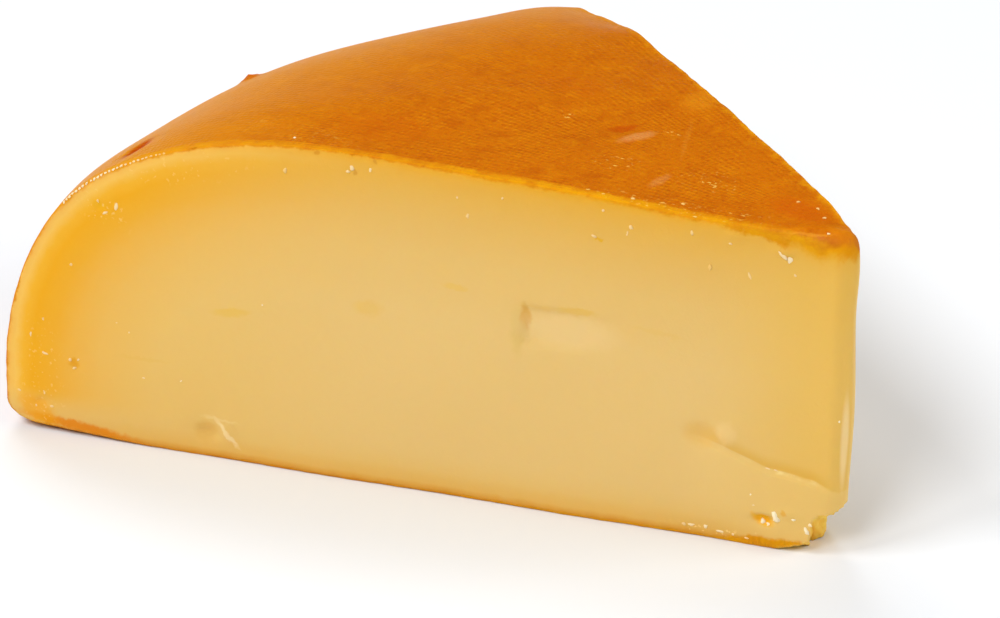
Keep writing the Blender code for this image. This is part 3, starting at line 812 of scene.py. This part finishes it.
# Stains on the rind, and painted light and shade: the slit and the hollow behind the scar are painted dark as
# shade, the scars carry pale scuffs with a painted highlight, and a thin pale line is a painted highlight
# along the crease beside the tip.
RIND_STAINS_AND_SHADING = (
    ((-42.9, -8.6), (1.7, 1.5), 0, (204, 96, 8), 0.8), ((-33.4, -38.1), (1.2, 3.0), 12, SLIT_SHADE, 0.95),
    ((20.2, 3.2), (2.9, 1.1), 84, SCAR_SCUFF_AND_HIGHLIGHT, 0.5), ((16.6, 4.1), (2.4, 0.8), 70, HOLLOW_SHADE, 0.8),
    ((31.9, -5.3), (2.2, 0.7), 100, SCAR_SCUFF_AND_HIGHLIGHT, 0.25), ((17.4, 18.8), (2.2, 3.4), 25, (226, 146, 20), 0.35),
    ((25.2, 7.4), (6.8, 0.35), -54, (228, 150, 44), 0.16), ((50.5, 1.0), (4.5, 2.5), 0, (200, 90, 0), 0.6),
    ((59.4, 0.2), (2.6, 2.4), 0, (220, 132, 0), 0.5), ((55.6, -3.1), (3.0, 0.18), 35, (238, 160, 40), 0.4),
    ((-4.0, -20.0), (7.0, 5.0), 30, (200, 96, 0), 0.35), ((2.0, 10.0), (6.0, 4.0), 0, (202, 100, 0), 0.3),
)
# Painted highlights: glints painted in specks over the rind where its weave would catch the light.
PAINTED_GLINTS = (
    ((8.8, 1.5), (1.4, 1.0), 0, PAINTED_GLINT_COLOUR, 0.8), ((24.6, -5.3), (3.4, 2.0), 40, PAINTED_GLINT_COLOUR, 0.8),
    ((22.6, 7.2), (1.2, 1.2), 0, PAINTED_GLINT_COLOUR, 0.8), ((36.5, -0.5), (4.0, 2.6), 30, PAINTED_GLINT_COLOUR, 0.8),
    ((40.0, -9.0), (12.0, 2.0), 25, PAINTED_GLINT_COLOUR, 0.5), ((-12.0, -29.0), (12.0, 2.6), 12, PAINTED_GLINT_COLOUR, 0.2),
)
FLECKS = (
    ((114.6, 8.0), (3.4, 9.0), 0, FLECK, 0.35), ((104.5, 35.5), (4.0, 2.4), 30, FLECK, 0.45),
    ((92.0, 43.0), (9.0, 2.0), -12, FLECK, 0.35), ((17.0, 1.4), (7.0, 0.7), 0, FLECK, 0.8),
)


class CheeseSheet(Sheet):
    """Waxy paste that grows deeper yellow towards the rind, and a thin satin rind with the imprint of
    the cloth that the wheel was pressed in."""

    def __init__(self):
        super().__init__("cheese")
        self.place = self.node("ShaderNodeTexCoord", output="Object")
        self.height = self.node("ShaderNodeSeparateXYZ", {}, [self.place], "Z") / MM
        self.under, self.along, self.out = self.kept("under"), self.kept("along"), self.kept("out")
        self.over_edge, self.pressed = self.kept("over_edge"), self.kept("pressed")
        self.torn = self.kept("torn")
        self.on_front = 1 - self.kept("behind").smooth(*BEHIND_FADE)
        self.cloud, self.mottle = self.noise(CLOUD_SIZE, 3), self.noise(MOTTLE_SIZE, 3, 3.1)
        self.speck = self.noise(SPECK_SIZE, 2, 7.7)
        # Specks that carry both the painted glints on the rind and the real pale flecks on the cut.
        self.glint_and_fleck_specks = self.noise(GLINT_AND_FLECK_SIZE, 2, 12.1).smooth(0.60, 0.72)
        wander = self.node("ShaderNodeTexNoise", {}, {
            "Vector": self.place, "Scale": 1 / (WANDER_SIZE * MM), "Detail": 2.0,
        }, "Color")
        self.wander = self.vector("SUBTRACT", wander, (0.5, 0.5, 0.5))

    def uneven(self, plane, reach):
        """The plane's numbers shifted here and there, so that what is drawn on it has a wavy outline."""
        return self.vector("ADD", plane, self.vector("MULTIPLY", self.wander, (reach, reach, 0)))

    def with_spots(self, colour, plane, stains, mask):
        """The colour with every spot laid over it, inside the mask: stains, and painted highlights and shade.
        """
        for place, reach, turn, spot_colour, strength in stains:
            spot = self.spot(plane, place, reach, turn) * mask * strength
            colour = self.blend(spot, colour, linear(spot_colour))
        return colour

    def with_ledge(self, paste):
        """The paste with the paler face below the ledge, a painted highlight along its lip and painted
        shade above it."""
        ledge, along = self.kept("above_ledge"), self.along
        on_ledge = 1 - along.smooth(*LEDGE_FAR_FADE)
        paste = self.blend((1 - ledge.smooth(-0.3, 0.2)) * on_ledge * LEDGE_SHARE, paste, linear(LEDGE_PALE))
        # Painted highlight along the ledge's lip.
        lip = ledge.smooth(-0.45, -0.1) * (1 - ledge.smooth(0.0, 0.3))
        lip = lip * along.smooth(2, 6) * (1 - along.smooth(11, 15)) * self.mottle.smooth(0.3, 0.7)
        paste = self.blend(lip * LIP_HIGHLIGHT_SHARE, paste, linear(LEDGE_HIGHLIGHT))
        # Painted shade above the ledge.
        shade = ledge.smooth(0.05, 0.3) * (1 - ledge.smooth(0.3, 2.2)) * on_ledge * along.smooth(1, 5)
        return self.blend(shade * SHADE_SHARE, paste, linear(LEDGE_SHADE))

    def paste(self):
        """The paste's colour by its depth under the rind and its height above the base, with the marks
        of the cuts, painted shade and highlights, and the darker paste that the tear laid bare."""
        along, mottle = self.along, self.mottle
        depth = self.under + (mottle - 0.5) * TOP_MOTTLE - self.pressed * PRESSED_DEPTH
        top = self.ramp(depth, PASTE_DEPTH, PASTE_UNDER_TOP)
        side = self.ramp(self.under + (mottle - 0.5) * SIDE_MOTTLE, PASTE_DEPTH, PASTE_BY_SIDE)
        paste = self.blend(along.smooth(*SIDE_FADE), top, side)
        by_tip = (1 - along.smooth(*TIP_FADE)) * self.under.smooth(*TIP_DEPTH_FADE)
        paste = self.with_ledge(self.blend(by_tip * TIP_SHARE, paste, linear(TIP_YELLOW)))
        base = self.ramp(self.height + (mottle - 0.5) * BASE_MOTTLE, BASE_DEPTH, PASTE_BY_BASE)
        by_base = (1 - self.height.smooth(*BASE_FADE)) * (0.35 + 0.65 * along.smooth(*BASE_TIP_FADE))
        paste = self.blend(by_base, paste, base)
        clouds = (self.cloud.smooth(0.55, 0.8) - self.cloud.smooth(0.2, 0.45) + 1) * 0.5
        paste = self.blend(clouds, paste, linear(CLOUD_PALE), "SOFT_LIGHT", CLOUD_SHARE)
        front = self.uneven(self.node("ShaderNodeCombineXYZ", {}, [along, self.height]), 1.2)
        # Stains on the front cut, and painted shade and light on its hollow, swelling and dragged dent.
        paste = self.with_spots(paste, front, FRONT_STAINS_AND_SHADING, self.on_front)
        paste = self.with_spots(paste, front, FLECKS, self.on_front * self.glint_and_fleck_specks)
        # Painted highlights on the tip's round.
        round_tip = self.node("ShaderNodeCombineXYZ", {}, [self.kept("swing"), self.height])
        paste = self.with_spots(paste, round_tip, TIP_HIGHLIGHTS, 1 - along.smooth(*TIP_ROUND_FADE))
        amber = self.blend(mottle.smooth(0.35, 0.7), linear(TORN_DARK), linear(TORN_AMBER))
        return self.blend(self.torn * TORN_SHARE, paste, amber)

    def weave(self):
        """The cloth's threads, which show in patches and not in the wheel's middle, and a fine grain."""
        uneven = self.noise(1.3, 2, 4.9) - 0.5
        way_round = self.kept("round") + (self.noise(6, 2, 5.1) - 0.5) * 0.7 + uneven * 0.4
        out = self.out + (self.noise(5, 2, 8.3) - 0.5) * 0.9 + uneven * 0.5
        spokes = 0.0
        for (count, start), (_, end) in zip(WHEEL_THREADS, (*WHEEL_THREADS[1:], (0, 1000))):
            zone = out.smooth(start - 4, start + 4) * (1 - out.smooth(end - 4, end + 4))
            spokes = (way_round * (count / 360)).wave() * zone + spokes
        threads = spokes * 0.6 + (out / RING_SPACING).wave() * 0.4
        patchy = self.cloud.smooth(0.38, 0.60) * 0.45 + 0.15
        grain = (self.noise(0.7, 3, 6.6) - 0.5) * 1.7
        return (threads - 0.5) * patchy * self.out.smooth(*MIDDLE_FADE) + grain

    def rind(self, weave, band):
        """The rind's colour: mottled orange, with painted shade in the weave's grooves and a painted
        highlight on its threads, a painted sheen down the shoulder, yellow in the band along the edges
        and painted glints."""
        deep = self.noise(5, 3, 9.4).smooth(0.45, 0.75)
        rind = self.blend(deep * DEEP_SHARE, linear(RIND_ORANGE), linear(RIND_DEEP))
        bright = self.noise(3, 3, 4.2).smooth(0.5, 0.8)
        rind = self.blend(bright * BRIGHT_SHARE, rind, linear(RIND_BRIGHT))
        # Painted shade in the weave's grooves and a painted highlight on its threads.
        rind = self.blend((0.0 - weave).smooth(0.0, 0.5) * GROOVE_SHADE_SHARE, rind, linear(RIND_DEEP))
        rind = self.blend(weave.smooth(0.1, 0.5) * THREAD_HIGHLIGHT_SHARE, rind, linear(RIND_BRIGHT))
        # Painted sheen: the shoulder is painted paler where it catches the light, fading again down the rim.
        paler = self.out.smooth(*SHOULDER_FADE) * (0.75 - 0.5 * self.out.smooth(*RIM_FADE))
        rind = self.blend(paler, rind, linear(RIND_SHEEN))
        yellow = 0.2 + self.near_half() * 0.35 + self.mottle.smooth(0.3, 0.6) * 0.35 + self.pressed * 0.3
        rind = self.blend(band * yellow, rind, linear(RIND_YELLOW))
        top = self.uneven(self.vector("MULTIPLY", self.place, (1 / MM, 1 / MM, 0)), 0.9)
        on_top = self.height.smooth(*ON_TOP_FADE)
        # Stains on the rind's top, with painted shade in its slit and hollow and painted highlights on its
        # scars and crease.
        rind = self.with_spots(rind, top, RIND_STAINS_AND_SHADING, on_top)
        # Painted glints on the rind's top.
        return self.with_spots(rind, top, PAINTED_GLINTS, on_top * self.glint_and_fleck_specks)

    def near_half(self):
        """1 on the half of a cut nearer the tip."""
        return 1 - self.along.smooth(*NEAR_HALF_FADE)

    def skin(self, ragged):
        """1 on the rind and 0 on the paste, with a ragged line between them just under the edge."""
        line = self.over_edge + ragged + (self.speck - 0.5) * (self.pressed + 0.4)
        low = -0.45 - self.near_half() * 0.3 - self.pressed * 1.4
        high = self.pressed * 0.75 - self.near_half() * 0.05
        return line.smooth(low, high) * (1 - self.torn)

    def finish(self):
        """Feeds the shader's sockets."""
        sockets, ragged, weave = self.shader.inputs, self.noise(1.6, 3, 2.2) - 0.5, self.weave()
        widest = self.on_front * 1.8 + 1.4 - self.pressed * 0.7
        band = 1 - (self.over_edge + ragged * 3.0).smooth(self.on_front * 0.6 - 0.4, widest)
        skin = self.skin(ragged)
        self.feed(sockets["Base Color"], self.blend(skin, self.paste(), self.rind(weave, band)))
        dull = (1 - self.along.smooth(*TIP_EDGE_FADE)) * 0.2 - skin * (0.08 - band * 0.3) + self.mottle * 0.10
        self.feed(sockets["Roughness"], dull + 0.46)
        imprint = weave * 0.10 + self.speck * 0.05
        knifed = self.mottle * 0.10 + self.speck * 0.03
        self.feed(sockets["Normal"], self.relief(imprint * skin + knifed * (1 - skin)))
        sockets["Subsurface Weight"].default_value = 0.2
        sockets["Subsurface Radius"].default_value = (1.0, 0.45, 0.12)
        sockets["Subsurface Scale"].default_value = 1.5 * MM
        sockets["Specular IOR Level"].default_value = 0.2
        sockets["Specular Tint"].default_value = (1.0, 0.84, 0.58, 1.0)


cheese = CheeseSheet()
cheese.finish()
wedge_mesh.materials.append(cheese.material)
wedge = bpy.data.objects.new("cheese", wedge_mesh)
bpy.context.scene.collection.objects.link(wedge)
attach(wedge, "root")
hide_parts("cheese_wedge")

# ---------------------------------------------------------------------------------------------
# Crumbs: small uneven flakes of paste left on the cut face, in the pit and on the torn tip, along the
# edges and on the rind, and a row of beads along the rind's edge. Each is pressed into the wedge.

BRIGHT = 1.0
CUT_FLAKES = (
    # place along the front cut, height, half its width and height, turn in degrees, how pale it is
    (9.5, 5.0, 0.62, 0.72, 20, BRIGHT), (11.4, 3.9, 0.42, 0.45, -30, BRIGHT),
    (10.6, 3.5, 0.25, 0.2, 0, BRIGHT),
    (7.1, 5.1, 0.26, 0.24, 0, BRIGHT), (13.0, 7.8, 0.12, 0.15, 0, BRIGHT), (12.6, 6.2, 0.16, 0.12, 0, 0.6),
    (5.3, 3.5, 0.40, 0.62, 15, BRIGHT), (4.8, 4.5, 0.28, 0.24, 0, 0.8), (1.5, 20.2, 0.15, 0.15, 0, BRIGHT),
    (22.1, 1.5, 0.30, 0.18, 0, 0.4), (21.1, 1.6, 0.46, 0.20, 8, 0.6), (19.1, 1.7, 0.30, 0.26, 0, 0.8),
    (17.0, 1.3, 0.52, 0.20, -6, 0.7), (15.3, 1.2, 0.26, 0.18, 0, 0.5), (13.4, 1.0, 0.30, 0.16, 0, 0.4),
    (10.8, 11.8, 0.45, 0.12, -14, 0.6), (9.8, 11.7, 0.30, 0.10, -10, 0.5), (7.3, 11.3, 0.35, 0.10, -8, 0.4),
    (53.7, 44.5, 0.18, 0.22, 0, 0.4), (47.5, 45.3, 0.15, 0.18, 0, 0.4), (52.3, 42.0, 0.24, 0.34, 10, 0.3),
    (33.8, 45.5, 0.22, 0.22, 0, 0.4), (35.1, 41.7, 0.32, 0.16, -20, 0.4), (30.0, 43.7, 0.26, 0.44, 18, 0.35),
    (30.5, 42.7, 0.18, 0.30, -12, 0.35), (21.8, 44.3, 0.22, 0.48, 6, 0.3), (19.3, 39.7, 0.24, 0.40, 0, 0.1),
    (16.6, 43.5, 0.22, 0.22, 0, 0.4), (8.0, 40.2, 0.20, 0.20, 0, 0.5), (8.8, 42.4, 0.36, 0.50, 0, 0.8),
    (9.6, 43.2, 0.62, 0.32, -42, 0.6), (14.0, 39.3, 0.18, 0.42, 22, 0.3), (77.7, 44.8, 0.26, 0.40, 0, 0.2),
    (68.4, 46.6, 0.30, 0.44, 12, 0.5), (68.9, 46.0, 0.30, 0.18, 30, 0.4), (65.8, 46.6, 0.20, 0.30, -10, 0.5),
    (102.3, 36.0, 0.22, 0.60, -6, 0.5), (104.0, 34.8, 0.42, 0.20, 28, 0.5), (104.9, 36.5, 0.16, 0.26, 0, 0.4),
    (109.4, 26.2, 0.18, 0.22, 0, 0.3), (115.9, 14.8, 0.16, 0.40, 0, 0.5),
    (113.9, 12.1, 0.44, 0.18, -12, 0.45),
    (110.2, 11.7, 0.24, 0.20, 0, 0.5), (108.9, 11.9, 0.22, 0.16, 40, 0.5), (109.6, 10.5, 0.30, 0.16, 0, 0.4),
    (118.1, 5.7, 0.26, 0.16, 0, 0.3), (114.3, 6.0, 0.16, 0.36, 10, 0.35), (115.6, 3.7, 0.18, 0.26, 0, 0.35),
    (113.2, 4.0, 0.26, 0.22, 0, 0.35), (113.9, 17.3, 0.16, 0.22, 0, 0.3), (103.0, 18.4, 0.12, 0.12, 0, 0.5),
    (101.2, 17.2, 0.12, 0.12, 0, 0.6), (99.3, 10.6, 0.22, 0.12, 0, 0.8), (93.8, 11.0, 0.20, 0.12, 30, 0.9),
    (81.5, 24.5, 0.14, 0.14, 0, 0.8),
)
RIND_FLAKES = (
    # X, Y, half its length and width, turn in degrees, how pale it is
    (33.6, -12.1, 0.40, 0.20, 35, 0.2), (38.8, -8.2, 0.34, 0.26, 35, 0.1), (28.0, -14.6, 0.30, 0.14, 35, 0),
    (30.2, -14.1, 0.24, 0.14, 35, 0), (42.4, -10.0, 0.30, 0.16, 35, 0), (36.9, -10.0, 0.40, 0.12, 40, 0),
    (-9.8, -31.1, 0.20, 0.20, 0, BRIGHT), (48.9, 2.5, 0.26, 0.24, 0, 0.2), (52.0, 3.0, 0.32, 0.20, -20, 0.2),
    (54.3, 2.0, 0.20, 0.24, 0, 0.3), (57.9, -2.6, 0.20, 0.20, 0, 0.6),
)
FLAKE_THICKNESS, FLAKE_THINNEST, FLAKE_SUNK = 0.5, 0.04, 0.35
FLAKE_UNEVEN, FLAKE_LUMPS, FLAKES_APART = 0.65, 0.9, 9.0
BEADS, BEAD_SPACING, BEADS_START, BEADS_SHRINK = 27, 0.68, 110.0, 0.35
BEAD_SIZE, BEAD_PALEST, BEAD_DULLEST = (0.25, 0.16, 0.13), 0.85, 0.2


def on_cut(along, height, side):
    """The point of a cut at that place along it and that height, and the three ways there: along the
    cut, up and outwards."""
    way = np.array((-math.cos(HALF_ANGLE), math.sin(HALF_ANGLE) * side, 0))
    out = np.array((math.sin(HALF_ANGLE), math.cos(HALF_ANGLE) * side, 0))
    start = np.array((WHEEL_CENTRE_X, 0, 0)) + CUT_OFFSET * out
    points = start + along[:, None] * way + height[:, None] * (0, 0, 1)
    return points, *(np.broadcast_to(axis, points.shape) for axis in (way, (0, 0, 1), out))


def ball():
    """The points and triangles of a ball of 80 faces."""
    work, mesh = bmesh.new(), bpy.data.meshes.new("ball")
    bmesh.ops.create_icosphere(work, subdivisions=2, radius=1.0)
    work.to_mesh(mesh)
    work.free()
    points, corners = np.empty(len(mesh.vertices) * 3, np.float32), np.empty(len(mesh.loops), np.int32)
    mesh.vertices.foreach_get("co", points)
    mesh.loops.foreach_get("vertex_index", corners)
    bpy.data.meshes.remove(mesh)
    return points.reshape(-1, 3).astype(float), corners.reshape(-1, 3)


def flakes(centres, way, up, out, sizes, turn):
    """Uneven flattened balls: the ball's points times the sizes, turned about the way out, and laid
    along the three ways at each centre. Returns (flake, point, 3)."""
    points, _ = ball()
    apart = FLAKES_APART * np.arange(len(centres))[:, None, None]
    bumps = lattice_noise((points + apart).reshape(-1, 3), FLAKE_LUMPS, 41).reshape(len(centres), -1, 1)
    shaped = points * sizes[:, None] * (1 + FLAKE_UNEVEN * bumps)
    cos, sin = np.cos(turn)[:, None], np.sin(turn)[:, None]
    first = shaped[..., 0] * cos - shaped[..., 1] * sin
    second = shaped[..., 0] * sin + shaped[..., 1] * cos
    sunk = shaped[..., 2] - FLAKE_SUNK * sizes[:, 2:]
    steps = ((first, way), (second, up), (sunk, out))
    return centres[:, None] + sum(step[..., None] * axis[:, None] for step, axis in steps)


def flattened(width, length):
    """Sizes of a flake: its two halves, and a thickness that follows the lesser of them."""
    return np.stack([width, length, FLAKE_THICKNESS * np.minimum(width, length) + FLAKE_THINNEST], axis=-1)


along, height, width, length, turn, cut_pale = np.array(CUT_FLAKES).T
centres, way, up, out = on_cut(along, height, FRONT)
centres = torn(drawn_to_form(centres))
groups = [flakes(centres, way, up, out, flattened(width, length), -np.radians(turn))]

x, y, width, length, turn, rind_pale = np.array(RIND_FLAKES).T
centres = drawn_to_form(np.stack([x, y, np.full(len(x), TOP_HEIGHT[0])], axis=-1))
way, up, out = (np.broadcast_to(axis, centres.shape) for axis in np.eye(3))
groups.append(flakes(centres, way, up, out, flattened(width, length), np.radians(turn)))

edge = on_wheel(0.0, *rind_profile(0.0, np.linspace(1, 2, 2000)))
passed = np.concatenate([[0], np.cumsum(np.linalg.norm(np.diff(edge, axis=0), axis=1))])
start = np.interp(BEADS_START, cut_place(edge, FRONT)[0], passed)
stops = start - BEAD_SPACING * np.arange(BEADS)
centres = np.stack([np.interp(stops, passed, edge[:, axis]) for axis in range(3)], axis=-1)
ahead = np.stack([np.interp(stops - 0.1, passed, edge[:, axis]) for axis in range(3)], axis=-1)
way = (ahead - centres) / np.linalg.norm(ahead - centres, axis=1)[:, None]
cut_out = on_cut(stops, stops, FRONT)[3]
rind_out = np.cross(cut_out, way)
out = (cut_out + rind_out) / math.sqrt(2)
late = np.clip(np.arange(BEADS) / BEADS * 2 - 1, 0, 1)
sizes = np.array(BEAD_SIZE) * (1 - BEADS_SHRINK * late[:, None])
groups.append(flakes(drawn_to_form(centres), way, np.cross(out, way), out, sizes, np.zeros(BEADS)))
bead_pale = BEAD_PALEST + (BEAD_DULLEST - BEAD_PALEST) * late

crumb_points = np.concatenate(groups)
_, triangles = ball()
starts = crumb_points.shape[1] * np.arange(len(crumb_points))
triangles = (triangles + starts[:, None, None]).reshape(-1, 3)
crumb_mesh = closed_mesh("crumbs", crumb_points.reshape(-1, 3), triangles.tolist(), 0.0)
store(crumb_mesh, "pale", np.repeat(np.concatenate([cut_pale, rind_pale, bead_pale]), crumb_points.shape[1]))

CRUMB_YELLOW, CRUMB_CREAM = (238, 186, 84), (255, 238, 198)
crumb_sheet = Sheet("crumbs")
crumb_colour = crumb_sheet.blend(crumb_sheet.kept("pale"), linear(CRUMB_YELLOW), linear(CRUMB_CREAM))
crumb_sheet.feed(crumb_sheet.shader.inputs["Base Color"], crumb_colour)
crumb_sheet.shader.inputs["Roughness"].default_value = 0.4
crumb_sheet.shader.inputs["Specular IOR Level"].default_value = 0.35
crumb_mesh.materials.append(crumb_sheet.material)
crumbs = bpy.data.objects.new("crumbs", crumb_mesh)
bpy.context.scene.collection.objects.link(crumbs)
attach(crumbs, "root")

# ---------------------------------------------------------------------------------------------
# The studio: a white floor that runs out of the picture, a soft light all round, and four large
# soft boxes: two at the left, one at the right and one behind.

FLOOR_SIZE = 6.0
FLOOR_WHITE = (237, 240, 244)

floor_mesh = bpy.data.meshes.new("floor")
corner = FLOOR_SIZE / 2
corners = [(-corner, -corner, 0), (corner, -corner, 0), (corner, corner, 0), (-corner, corner, 0)]
floor_mesh.from_pydata(corners, [], [(0, 1, 2, 3)])
floor = bpy.data.objects.new("floor", floor_mesh)
floor_sheet = Sheet("floor")
floor_sheet.shader.inputs["Base Color"].default_value = linear(FLOOR_WHITE)
floor_sheet.shader.inputs["Roughness"].default_value = 0.9
floor_sheet.shader.inputs["Specular IOR Level"].default_value = 0.0
floor_mesh.materials.append(floor_sheet.material)
bpy.context.scene.collection.objects.link(floor)

SOFT_BOX_AWAY = 1.5
SOFT_BOXES = {
    "key from the front left": (240, 45, 0.55, 9.4),
    "box on the left": (201, 55, 0.5, 8.2),
    "fill from the right": (352, 32, 0.75, 8.4),
    "box behind": (110, 55, 0.75, 8.2),
}
ROOM_LIGHT, ROOM_SHINE = 0.17, 0.02
for name, (turn, rise, size, power) in SOFT_BOXES.items():
    turn, rise = math.radians(turn) + CAMERA_TURN, math.radians(rise)
    light = bpy.data.lights.new(name, "AREA")
    light.size, light.energy = size, power
    box = bpy.data.objects.new(name, light)
    box.location = SOFT_BOX_AWAY * Vector((
        math.cos(turn) * math.cos(rise), math.sin(turn) * math.cos(rise), math.sin(rise),
    ))
    box.rotation_euler = (-box.location).to_track_quat("-Z", "Y").to_euler()
    box.visible_glossy = name != "box behind"
    bpy.context.scene.collection.objects.link(box)

world = bpy.data.worlds.new("room")
world.use_nodes = True
background = world.node_tree.nodes["Background"]
background.inputs["Color"].default_value = (1, 1, 1, 1)
path = world.node_tree.nodes.new("ShaderNodeLightPath")
room = world.node_tree.nodes.new("ShaderNodeMapRange")
room.inputs["To Min"].default_value, room.inputs["To Max"].default_value = ROOM_LIGHT, ROOM_SHINE
world.node_tree.links.new(path.outputs["Is Glossy Ray"], room.inputs["Value"])
world.node_tree.links.new(room.outputs["Result"], background.inputs["Strength"])
bpy.context.scene.world = world
bpy.context.scene.view_settings.view_transform = "Standard"
